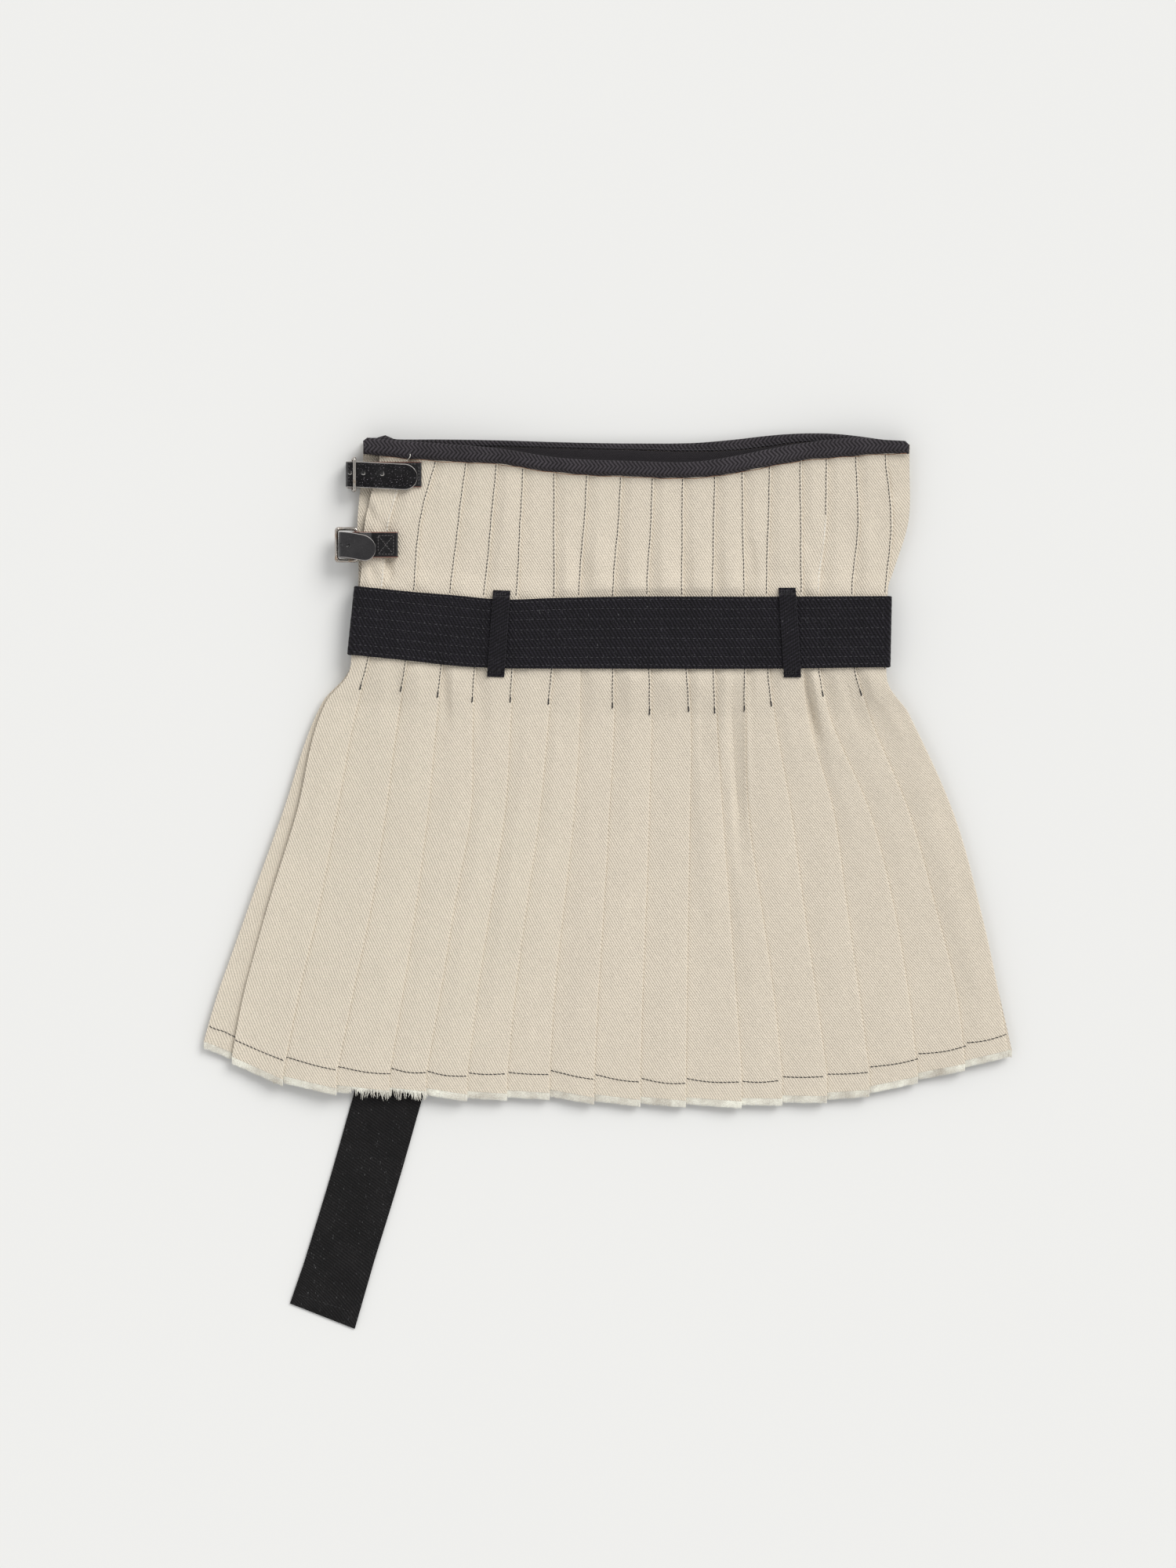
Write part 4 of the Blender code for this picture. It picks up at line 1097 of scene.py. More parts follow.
def tail_pairs():
    """The belt's free end, which comes out from under the back."""
    half = TAIL_WIDTH_ALONG_X / 2
    knots = []
    for y in every(TAIL[-1].y, TAIL[0].y, 9.0)[::-1]:
        x = float(flowing(y, [m.y for m in TAIL], [m.x for m in TAIL]))
        under_back = row_value(place_at(x, y), "lift") - REST_LIFT - SEAM
        z = min(max(under_back, 0.0), REST_LIFT) + BELT / 2
        knots.append([(x + half, y, z), (x - half, y, z)])
    knots.append([(*TAIL_END_RIGHT, BELT / 2), (*TAIL_END_LEFT, BELT / 2)])
    return softened(knots, 4.0, 1.8)


def loop_pairs(place, surface_at, belt_level, outward):
    """A loop over the belt, down to the cloth at both ends. outward is 1 at the front, or -1."""
    lean = place.x_foot - place.x_top
    top = edge_at("belt_top", place.x_top)
    foot = edge_at("belt_foot", place.x_foot)
    over = belt_level(place.x_top) + outward * (BELT / 2 + SEAM + LOOP / 2)
    beside = LOOP / 2 + SEAM
    heights = (top + LOOP_END, top + beside + 0.5, top + beside, foot - beside, foot - beside - 0.5)
    knots = []
    for i, y in enumerate((*heights, foot - LOOP_END)):
        x = place.x_top + lean * (top - y) / (top - foot)
        edge, middle = ("belt_top", top) if y > (top + foot) / 2 else ("belt_foot", foot)
        z = over if i in (2, 3) else surface_at(x, y) + outward * (SEAM + LOOP / 2)
        pair = []
        for across in (-LOOP_WIDTH / 2, LOOP_WIDTH / 2):
            pair.append((x + across, y + edge_at(edge, x + across) - middle, z))
        knots.append(pair if outward > 0 else pair[::-1])
    return softened(knots, 0.9, 0.9)


def loop_ridges(u, v, _):
    """A loop is turned in at both long edges and stitched beside them."""
    side = np.minimum(v, LOOP_WIDTH - v)
    return 0.16 * np.exp(-(((side - 0.9) / 0.7) ** 2)) - 0.14 * np.exp(-(((side - 2.1) / 0.45) ** 2))


def leather_pairs(line, y, width, radius, tip=None, drop=0.0):
    """Edges of a strip of leather along (x, z) points, rounded off at its tip, which may drop."""
    half = width / 2
    centre = softened([[(x, y, z)] for x, z in line], radius, 0.55)[:, 0]
    spread = np.full(len(centre), half)
    if tip is not None:
        angles = np.radians(np.linspace(6, 87, 16))
        reach = tip - half + half * np.sin(angles)
        ends = np.stack([reach, np.full(16, y), np.full(16, centre[-1, 2])], axis=-1)
        centre = np.concatenate([centre, ends])
        spread = np.concatenate([spread, half * np.cos(angles)])
    bend = line[-2][0]
    shift = np.zeros(len(centre))
    if drop:
        on = np.arange(len(centre)) > len(centre) // 3
        shift = np.where(on, drop * ease((centre[:, 0] - bend) / (centre[-1, 0] - bend)), 0.0)
    pairs = np.repeat(centre[:, None], 2, axis=1)
    pairs[:, 0, 1] += -spread - shift
    pairs[:, 1, 1] += spread - shift
    return pairs


def hole_glints(holes, low_z):
    """A painted glint round each hole, in the leather's edge colour and brighter at its lower right, where
    the light falls.
    """

    def cut(point):
        rims = np.zeros(point.shape[:-1])
        for hole in holes:
            across, up = point[..., 0] - hole.x, point[..., 1] - hole.y
            away = np.hypot(across, up)
            lit = 0.5 + 0.5 * (across - up) / np.maximum(away, 0.1) / math.sqrt(2)
            ring = np.exp(-(((away - HOLE_RADIUS) / 0.3) ** 2)) * lit
            rims = np.maximum(rims, ring * (point[..., 2] > low_z))
        return rims

    return cut


def punched(holes, low_z):
    """Holes and the soft crown of a strap's tongue, which is above a height."""

    def rise(u, v, point):
        out = 0.10 * np.sin(np.pi * np.clip(v / STRAP_WIDTH, 0, 1)) * (point[..., 2] > low_z)
        for hole in holes:
            away = np.hypot(point[..., 0] - hole.x, point[..., 1] - hole.y)
            lip = 0.10 * np.exp(-(((away - HOLE_RADIUS - 0.35) / 0.3) ** 2))
            pit = -0.95 * (1 - ease((away - HOLE_RADIUS + 0.35) / 0.45))
            out = out + (lip + pit) * (point[..., 2] > low_z)
        return out

    return rise


# Materials

NOISE = (0.3, 0.7)  # where most of a noise texture's values lie
TWILL_WAY = (0.85, 0.53)  # across the twill's lines, which fall steeply to the right
WEFT_WAY = (0.0, 1.0)
RIB_WAY = (0.74, 0.67)  # across the ribs of a herringbone's band
LINT = (0.16, 0.16, 0.165)
WHITE = (1.0, 1.0, 1.0)


class Shading:
    """The nodes of a material or a world: a method adds one and returns what comes out of it."""

    def __init__(self, owner):
        owner.use_nodes = True
        self.owner = owner
        self.nodes, self.links = owner.node_tree.nodes, owner.node_tree.links

    def give(self, made, inputs):
        """Fills a node's inputs, each from another node or with a plain value."""
        for key, source in inputs.items():
            if isinstance(source, bpy.types.NodeSocket):
                self.links.new(source, made.inputs[key])
            else:
                made.inputs[key].default_value = source

    def node(self, kind, inputs=None, **settings):
        made = self.nodes.new(kind)
        for key, value in settings.items():
            setattr(made, key, value)
        self.give(made, inputs or {})
        return made

    def cloth(self):
        """Places along the cloth, in metres."""
        return self.node("ShaderNodeUVMap", uv_map="Cloth").outputs["UV"]

    def place(self):
        return self.node("ShaderNodeTexCoord").outputs["Object"]

    def maths(self, operation, *sources):
        return self.node("ShaderNodeMath", dict(enumerate(sources)), operation=operation).outputs[0]

    def multiplied(self, a, b):
        return self.maths("MULTIPLY", a, b)

    def summed(self, *parts):
        """The sum of some results, each given with its weight."""
        total = None
        for value, weight in parts:
            part = self.multiplied(value, weight)
            total = part if total is None else self.maths("ADD", total, part)
        return total

    def wave(self, source, way, period, wander):
        """A sine across the cloth: source's vector along a way, one wave to each period."""
        scaled = [c * 2 * math.pi / period for c in way]
        dot = self.node("ShaderNodeVectorMath", {0: source, 1: (*scaled, 0.0)}, operation="DOT_PRODUCT")
        return self.maths("SINE", self.maths("ADD", dot.outputs["Value"], wander))

    def noise(self, source, scale, detail=2.0, roughness=0.5, stretch=None):
        if stretch:
            source = self.node("ShaderNodeMapping", {"Vector": source, "Scale": stretch}).outputs["Vector"]
        inputs = {"Vector": source, "Scale": scale, "Detail": detail, "Roughness": roughness}
        return self.node("ShaderNodeTexNoise", inputs).outputs["Fac"]

    def fitted(self, value, low, high, to_low, to_high):
        """A value between low and high, fitted to between to_low and to_high."""
        ends = {"From Min": low, "From Max": high, "To Min": to_low, "To Max": to_high}
        return self.node("ShaderNodeMapRange", {"Value": value, **ends}).outputs["Result"]

    def mixed(self, share, a, b):
        """A colour between two, each a colour or what comes out of a node."""
        a, b = (c if isinstance(c, bpy.types.NodeSocket) else (*c, 1.0) for c in (a, b))
        return self.node("ShaderNodeMix", {"Factor": share, 6: a, 7: b}, data_type="RGBA").outputs[2]

    def toned(self, colour, factor):
        return self.node("ShaderNodeVectorMath", {0: colour, "Scale": factor}, operation="SCALE").outputs[0]

    def finished(self, inputs, height=None, deep=0.0):
        """Fills the material's shader, with a height as its fine relief, and returns the material."""
        if height is not None:
            bump = self.node("ShaderNodeBump", {"Strength": 1.0, "Distance": deep, "Height": height})
            inputs["Normal"] = bump.outputs["Normal"]
        self.give(self.nodes["Principled BSDF"], inputs)
        return self.owner


def tinted(colour, factor):
    return tuple(min(c * factor, 1.0) for c in colour)


def twill_material(made, colour, period, deep, contrast, sheen, mottle=0.022, lint=0.0):
    """Twill of thick yarn: diagonal lines that wander, slubs, mottled dye, a matt nap and lint."""
    cloth, place = made.cloth(), made.place()
    wander = made.fitted(made.noise(cloth, 150.0, 3.0, 0.6), 0, 1, -2.2, 2.2)
    lines = made.wave(cloth, TWILL_WAY, period, wander)
    picks = made.wave(cloth, WEFT_WAY, period * 0.74, wander)
    weave = made.summed((lines, 0.75), (picks, 0.25))
    weft_slub = made.noise(cloth, 260.0, 4.0, 0.65, (1.0, 5.5, 1.0))
    warp_slub = made.noise(cloth, 300.0, 3.0, 0.6, (6.0, 1.0, 1.0))
    slubs = made.summed((weft_slub, 0.3), (warp_slub, 0.3))
    angle = -math.atan2(TWILL_WAY[1], TWILL_WAY[0])
    turned = made.node("ShaderNodeVectorRotate", {"Vector": cloth, "Angle": angle}, rotation_type="Z_AXIS")
    ribs = made.noise(turned.outputs[0], 1.0, 3.0, 0.65, (0.75 / period, 0.11 / period, 1.0))
    slubs = made.summed((slubs, 1.3), (ribs, 0.22))
    fuzz = made.noise(place, 2600.0, 3.0, 0.7)
    dye = made.fitted(made.noise(place, 48.0, 4.0, 0.6), *NOISE, 1 - mottle, 1 + mottle * 0.6)
    share = made.fitted(weave, -1, 1, 0, 1)
    woven = made.mixed(share, tinted(colour, 1 - contrast), tinted(colour, 1 + contrast * 0.6))
    uneven = made.fitted(slubs, 0.36, 0.64, 1 - contrast * 0.75, 1 + contrast * 0.5)
    if lint:
        flecks = made.noise(place, 1250.0, 3.0, 0.7, (1.0, 0.35, 1.0))
        linted = made.multiplied(made.fitted(flecks, 0.64, 0.74, 0, 1), lint)
        woven = made.mixed(linted, woven, LINT)
    shader = {
        "Base Color": made.toned(woven, made.multiplied(dye, uneven)),
        "Roughness": made.fitted(fuzz, *NOISE, 0.84, 0.98),
        "Sheen Weight": sheen,
        "Sheen Roughness": 0.45,
        "Specular IOR Level": 0.25,
    }
    return made.finished(shader, made.summed((weave, 0.5), (slubs, 0.9), (fuzz, 0.5)), deep)


def herringbone_material(made, colour, band, period):
    """Tape woven in bands whose diagonal turns at each band."""
    cloth, place = made.cloth(), made.place()
    parts = made.node("ShaderNodeSeparateXYZ", {0: cloth}).outputs
    turning = made.maths("PINGPONG", parts["Y"], band)
    joined = made.node("ShaderNodeCombineXYZ", {"X": parts["X"], "Y": turning}).outputs[0]
    wander = made.fitted(made.noise(cloth, 1200.0), 0, 1, -0.9, 0.9)
    lines = made.wave(joined, RIB_WAY, period, wander)
    speckle = made.noise(place, 1500.0, 4.0, 0.7)
    dusted = made.maths("ADD", lines, made.fitted(speckle, *NOISE, -0.8, 0.8))
    woven = made.mixed(made.fitted(dusted, -1.4, 1.6, 0, 1), tinted(colour, 0.12), tinted(colour, 2.1))
    cloudy = made.fitted(made.noise(place, 60.0), *NOISE, 0.85, 1.15)
    shader = {
        "Base Color": made.toned(woven, cloudy),
        "Roughness": made.fitted(speckle, *NOISE, 0.75, 0.95),
        "Sheen Weight": 0.02,
        "Specular IOR Level": 0.2,
    }
    return made.finished(shader, made.summed((lines, 0.5), (speckle, 0.6)), 0.0003)


def thread_material(made, colour, rough=0.7):
    """Twisted thread or yarn with a slightly uneven colour."""
    place = made.place()
    ply = made.noise(place, 1400.0, 3.0, 0.6)
    share = made.fitted(made.maths("ADD", ply, made.noise(place, 90.0)), 0.6, 1.4, 0, 1)
    shader = {
        "Base Color": made.mixed(share, tinted(colour, 0.6), tinted(colour, 1.5)),
        "Roughness": made.fitted(ply, *NOISE, rough - 0.1, rough + 0.1),
        "Sheen Weight": 0.2,
    }
    return made.finished(shader, ply, 0.0001)


def leather_material(made, colour, cut_edge_and_highlight, gloss, grain, wrinkle, speckle):
    """Finished leather with a pebbled grain, light flecks in it that are painted glints of the grain, and a
    colour of its own at the cut edge, which on the straps is partly painted highlight.
    """
    place = made.place()
    pebble = made.node("ShaderNodeTexVoronoi", {"Vector": place, "Scale": grain}).outputs["Distance"]
    fine = made.noise(place, 2400.0, 3.0, 0.6)
    broad = made.noise(place, 130.0, 3.0)
    rim = made.node("ShaderNodeAttribute", attribute_name="rim").outputs["Fac"]
    # Light flecks, speckle times the leather's colour: painted glints of the grain
    spots = made.fitted(made.noise(place, 1100.0, 2.0), 0.62, 0.70, 0, 1)
    face = made.mixed(made.multiplied(spots, 0.8), colour, tinted(colour, speckle))
    # Mask of the edge colour, at the cut edges and round the holes: the tabs' brown edge is their own
    # colour, the straps' light grey edge is partly painted highlight of the bevel, and the hole rims are
    # painted glints
    worn = made.fitted(made.summed((rim, 1.0), (broad, 0.5)), 0.5, 0.85, 0, 1)
    shader = {
        "Base Color": made.mixed(worn, face, cut_edge_and_highlight),
        "Roughness": made.fitted(broad, *NOISE, gloss - 0.05, gloss + 0.08),
        "Coat Weight": 0.35,
        "Coat Roughness": 0.16,
    }
    return made.finished(shader, made.summed((pebble, 1.0), (fine, 0.5), (broad, wrinkle)), 0.00008)


def nickel_material(made, colour):
    """Polished nickel with fine scratches, and duller where it is worn."""
    place = made.place()
    scratch = made.noise(place, 700.0, 4.0, 0.6, (1.0, 7.0, 1.0))
    patch = made.noise(place, 160.0, 3.0)
    worn = tuple(c * f for c, f in zip(colour, (0.72, 0.55, 0.42)))
    shader = {
        "Base Color": made.mixed(made.fitted(patch, 0.5, 0.72, 0, 1), colour, worn),
        "Roughness": made.fitted(made.maths("ADD", scratch, patch), 0.6, 1.4, 0.14, 0.34),
        "Metallic": 1.0,
    }
    return made.finished(shader, scratch, 0.00003)


def floor_material(made, colour):
    share = made.fitted(made.noise(made.place(), 3.0), *NOISE, 0, 1)
    grainy = made.mixed(share, tinted(colour, 0.998), tinted(colour, 1.002))
    return made.finished({"Base Color": grainy, "Roughness": 1.0, "Specular IOR Level": 0.0})


def new_material(name, make, **settings):
    return make(Shading(bpy.data.materials.new(name)), **settings)


FINISHES = {}


def finish(name):
    """One of the kilt's materials, made when it is first asked for."""
    if name in FINISHES:
        return FINISHES[name]
    sizes, colours = bpy.context.scene.kilt_sizes, bpy.context.scene.kilt_colours
    wool, tape, leather = tuple(colours.wool), tuple(colours.tape), tuple(colours.leather)
    twills = {
        "wool_twill": dict(colour=wool, period=sizes.twill, deep=0.0004, contrast=0.15, sheen=0.12),
        "facing_cotton": dict(
            colour=tinted(tape, 0.7), period=0.9 * MM, deep=0.0002, contrast=0.3, sheen=0.05
        ),
        "belting": dict(
            colour=tuple(colours.belting),
            period=1.9 * MM,
            deep=0.0009,
            contrast=0.9,
            sheen=0.06,
            mottle=0.2,
            lint=0.9,
        ),
        "belting_back": dict(
            colour=(0.0125, 0.0115, 0.0118),
            period=1.5 * MM,
            deep=0.0006,
            contrast=0.6,
            sheen=0.03,
            mottle=0.35,
            lint=0.9,
        ),
    }
    leathers = {
        # The straps' light grey edge colour is partly the cut edge's own and partly painted highlight of
        # its bevel
        "tongue_leather": dict(
            colour=leather, cut_edge_and_highlight=(0.34, 0.32, 0.30), gloss=0.20, grain=1500.0, wrinkle=0.5, speckle=26.0
        ),
        # A lighter copy of the strap leather for the lower strap: painted sheen where its bent leather
        # reflects the light
        "painted_sheen_leather": dict(
            colour=tinted(leather, 2.6),
            cut_edge_and_highlight=(0.30, 0.28, 0.27),
            gloss=0.40,
            grain=900.0,
            wrinkle=0.3,
            speckle=2.0,
        ),
        "tab_leather": dict(
            colour=leather, cut_edge_and_highlight=tuple(colours.raw_edge), gloss=0.30, grain=1300.0, wrinkle=0.9, speckle=8.0
        ),
    }
    threads = {
        "wool_yarn": dict(colour=(0.80, 0.72, 0.605), rough=0.9),
        "black_thread": dict(colour=tuple(colours.thread)),
        "belt_thread": dict(colour=(0.022, 0.020, 0.025)),
        # Black thread made darker than the rest: painted shade of the groove across the tail's hem, where
        # it lies
        "tail_thread": dict(colour=(0.006, 0.0055, 0.006)),
        "tab_thread": dict(colour=(0.13, 0.12, 0.12)),
        "cream_thread": dict(colour=tinted(wool, 1.15)),
        "brown_thread": dict(colour=(0.30, 0.135, 0.065)),
    }
    tapes = {"binding_tape": dict(colour=tape, band=3.4 * MM, period=1.9 * MM)}
    metals = {"buckle_nickel": dict(colour=tuple(colours.nickel))}
    for make, family in (
        (twill_material, twills),
        (herringbone_material, tapes),
        (leather_material, leathers),
        (nickel_material, metals),
        (thread_material, threads),
    ):
        if name in family:
            FINISHES[name] = new_material(name, make, **family[name])
    return FINISHES[name]


# Pieces


class KILT_OT_panels(bpy.types.Operator):
    """Make the pleated front and back, and the strip of the wrapped under layer"""

    bl_idname = "kilt.panels"
    bl_label = "Panels"

    def execute(self, context):
        sizes = context.scene.kilt_sizes
        for name, grid, node_name in (
            ("front_cloth", front_grid, "front"),
            ("back_cloth", back_grid, "back"),
            ("under_apron_cloth", apron_grid, "under_apron"),
        ):
            show(name, wall_mesh(name, *grid(sizes)), finish("wool_twill"), (node_name,))
        return {"FINISHED"}


class KILT_OT_waist(bpy.types.Operator):
    """Make the bindings of the two waist edges and the facing inside the back"""

    bl_idname = "kilt.waist"
    bl_label = "Waist binding"

    def execute(self, context):
        for name, ends, section, node_name in (
            ("front_binding_tape", FRONT_BINDING_ENDS, front_binding_section, "front_binding"),
            ("back_binding_tape", BACK_BINDING_ENDS, back_binding_section, "back_binding"),
        ):
            mesh = binding_mesh(name, *ends, section)
            show(name, mesh, finish("binding_tape"), (node_name,))
        knots = []
        for x in every(*FACING_ENDS, 6.0):
            z = REST_LIFT + PANEL + SEAM + BINDING / 2
            low = edge_at("front_low", x) + FACING_FOOT
            knots.append([(x, low, z), (x, edge_at("back_seam", x) - SEAM, z)])

        def folded(u, v, _):
            """A fold runs along the facing."""
            return 0.3 * np.exp(-(((v - 5.0) / 0.5) ** 2)) + 0.12 * np.sin(u / 11.0)

        mesh = strip_mesh("facing_cotton", softened(knots, 2.0, 3.0), BINDING * 0.8, 16, 0.5, folded)
        show("facing_cotton", mesh, finish("facing_cotton"), ("back_facing",))
        return {"FINISHED"}


class KILT_OT_belt(bpy.types.Operator):
    """Make the belt's two stretches and its free end"""

    bl_idname = "kilt.belt"
    bl_label = "Belt"

    def execute(self, context):
        for name, level, turned, node_name in (
            ("belt_front_webbing", belt_front_level, BELT_SIDE_SEAM + SEAM, "belt_front"),
            ("belt_back_webbing", belt_back_level, BELT_SIDE_SEAM, "belt_back"),
        ):
            pairs = belt_pairs(level, turned)
            if level is belt_front_level:
                pairs = pairs[::-1]
            mesh = strip_mesh(name, pairs, BELT * BELT_TAPER, 44, 0.8, quilted)
            show(name, mesh, finish("belting"), (node_name,))
        mesh = strip_mesh("belt_tail_webbing", tail_pairs(), BELT * BELT_TAPER, 44, 0.8, tail_hem, 0.7)
        show("belt_tail_webbing", mesh, finish("belting_back"), ("belt_tail",))
        return {"FINISHED"}


class KILT_OT_loops(bpy.types.Operator):
    """Make the four belt loops"""

    bl_idname = "kilt.loops"
    bl_label = "Belt loops"

    def execute(self, context):
        def under_back(x, y):
            return float(back_base(x, y, place_at(x, y)))

        for places, surface_at, level, outward, thickness, ridges in (
            (FRONT_LOOPS, front_top_at, belt_front_level, 1, LOOP, loop_ridges),
            (BACK_LOOPS, under_back, belt_back_level, -1, LOOP * BACK_LOOP_TAPER, None),
        ):
            for place in places:
                pairs = loop_pairs(place, surface_at, level, outward)
                mesh = strip_mesh(place.name + "_webbing", pairs, thickness, 12, 0.5, ridges, 0.5)
                show(mesh.name, mesh, finish("belting"), (place.name,))
        return {"FINISHED"}


def frame_paths(centre, reach_along):
    """A wire frame with rounded corners; reach_along(t) gives (x, z) from hinge to outer bar."""
    half = FRAME_WIDTH / 2
    share = FRAME_CORNER / FRAME_REACH
    outline = []
    for t_corner, side_of, turn in ((0, -1, 180), (1, -1, 270), (1, 1, 0), (0, 1, 90)):
        t_middle = t_corner + (share if t_corner == 0 else -share)
        y_middle = side_of * (half - FRAME_CORNER)
        for angle in np.linspace(0, 90, 7):
            a = math.radians(turn + angle)
            x, z = reach_along(t_middle + share * math.cos(a))
            swell = 1.0 + 0.22 * math.sin(math.radians(2 * angle))
            outline.append((x, centre + y_middle + FRAME_CORNER * math.sin(a), z, swell))
    return [outline]


class KILT_OT_fastenings(bpy.types.Operator):
    """Make the two buckle fastenings: tabs, nickel frames and straps"""

    bl_idname = "kilt.fastenings"
    bl_label = "Buckle fastenings"

    def execute(self, context):
        self.upper()
        self.lower()
        return {"FINISHED"}

    def leather(self, name, line, y, width, thickness, material, tip=None, drop=0.0, holes=(), low_z=0):
        pairs = leather_pairs(line, y, width, thickness, tip, drop)
        rise = punched(holes, low_z) if holes else None
        # the tongue's holes get painted glints round them
        cut = hole_glints(holes, low_z) if material == "tongue_leather" else None
        mesh = strip_mesh(name + "_leather", pairs, thickness * 0.94, 44, 0.5, rise, 0.45, cut)
        show(mesh.name, mesh, finish(material), (name,))

    def wire(self, name, centre, reach_along, radius):
        mesh = thread_mesh(name + "_wire", frame_paths(centre, reach_along), radius, 4, closed=True)
        show(mesh.name, mesh, finish("buckle_nickel"), (name,))

    def upper(self):
        rest = front_top_at(UPPER_TAB_RIGHT, UPPER_Y) + SEAM
        hook = BAR_RADIUS + SEAM + TAB_LEATHER / 2
        x, z = UPPER_HINGE_X, UPPER_HINGE_HEIGHT
        tab = [
            (x - hook, z + TAB_LEATHER),
            (x - hook, z - hook),
            (x + hook, z - hook),
            (x + hook, rest + TAB_LEATHER / 2),
            (UPPER_TAB_RIGHT, rest + TAB_LEATHER / 2),
        ]
        self.leather("upper_buckle_tab", tab, UPPER_Y, TAB_WIDTH, TAB_LEATHER, "tab_leather")
        tongue = rest + TAB_LEATHER + SEAM + LEATHER / 2
        bar = tongue + LEATHER / 2 + SEAM + BAR_RADIUS
        reach = UPPER_BAR_X - x
        self.wire("upper_buckle_frame", UPPER_Y, lambda t: (x + reach * t, z + (bar - z) * t), 0.95)
        outer = x - hook - TAB_LEATHER / 2 - SEAM - LEATHER / 2
        strap = [
            (STRAP_SEWN_END, LEATHER / 2),
            (outer, LEATHER / 2),
            (outer, tongue),
            (UPPER_TIP - STRAP_WIDTH / 2, tongue),
        ]
        tip = (UPPER_TIP, UPPER_TIP_DROP, UPPER_HOLES, tongue - 1.0)
        self.leather("upper_strap", strap, UPPER_Y, STRAP_WIDTH, LEATHER, "tongue_leather", *tip)

    def lower(self):
        rest = front_top_at(LOWER_TAB_RIGHT, LOWER_Y) + SEAM
        x = LOWER_OUTER_X + FRAME_REACH
        hook = BAR_RADIUS + SEAM + TAB_LEATHER / 2
        z = rest + TAB_LEATHER / 2 + hook
        laid_on = rest + TAB_LEATHER * 3 / 2 + SEAM
        tab = [
            (LOWER_TAB_RIGHT, rest + TAB_LEATHER / 2),
            (x - hook, z - hook),
            (x - hook, z + hook),
            (x + hook, z + hook),
            (x + LOWER_FOLD_BACK, laid_on),
            (LOWER_TAB_RIGHT, laid_on),
        ]
        self.leather("lower_buckle_tab", tab, LOWER_Y, TAB_WIDTH, TAB_LEATHER, "tab_leather")
        self.wire("lower_buckle_frame", LOWER_Y, lambda t: (x - FRAME_REACH * t, z), BAR_RADIUS)
        over = z + hook + TAB_LEATHER / 2 + SEAM + LEATHER / 2
        inside = LOWER_OUTER_X + BAR_RADIUS + SEAM + LEATHER / 2
        strap = [
            (STRAP_SEWN_END, LEATHER / 2),
            (-155.0, LEATHER / 2),
            (inside + 3.0, 3.6),
            (inside, 8.0),
            (inside, over),
            (LOWER_TIP - STRAP_WIDTH / 2, over),
        ]
        tip = (LOWER_TIP, LOWER_TIP_DROP, LOWER_HOLES, over - 1.2)
        # the lower strap takes the lighter copy of the leather, a painted sheen
        self.leather("lower_strap", strap, LOWER_Y, STRAP_WIDTH, LEATHER, "painted_sheen_leather", *tip)


def pleat_thread_line(fold, top, foot):
    """A line of sewing beside a fold, from one height to another."""
    points = []
    for y in np.arange(top, foot, -2.0):
        x = fold_at(FOLDS[fold], y)
        wander = 0.12 * math.sin(y / 7.0 + fold) + 0.08 * math.sin(y / 2.3 + 2 * fold)
        points.append((x - THREAD_IN + wander, y))
    return points


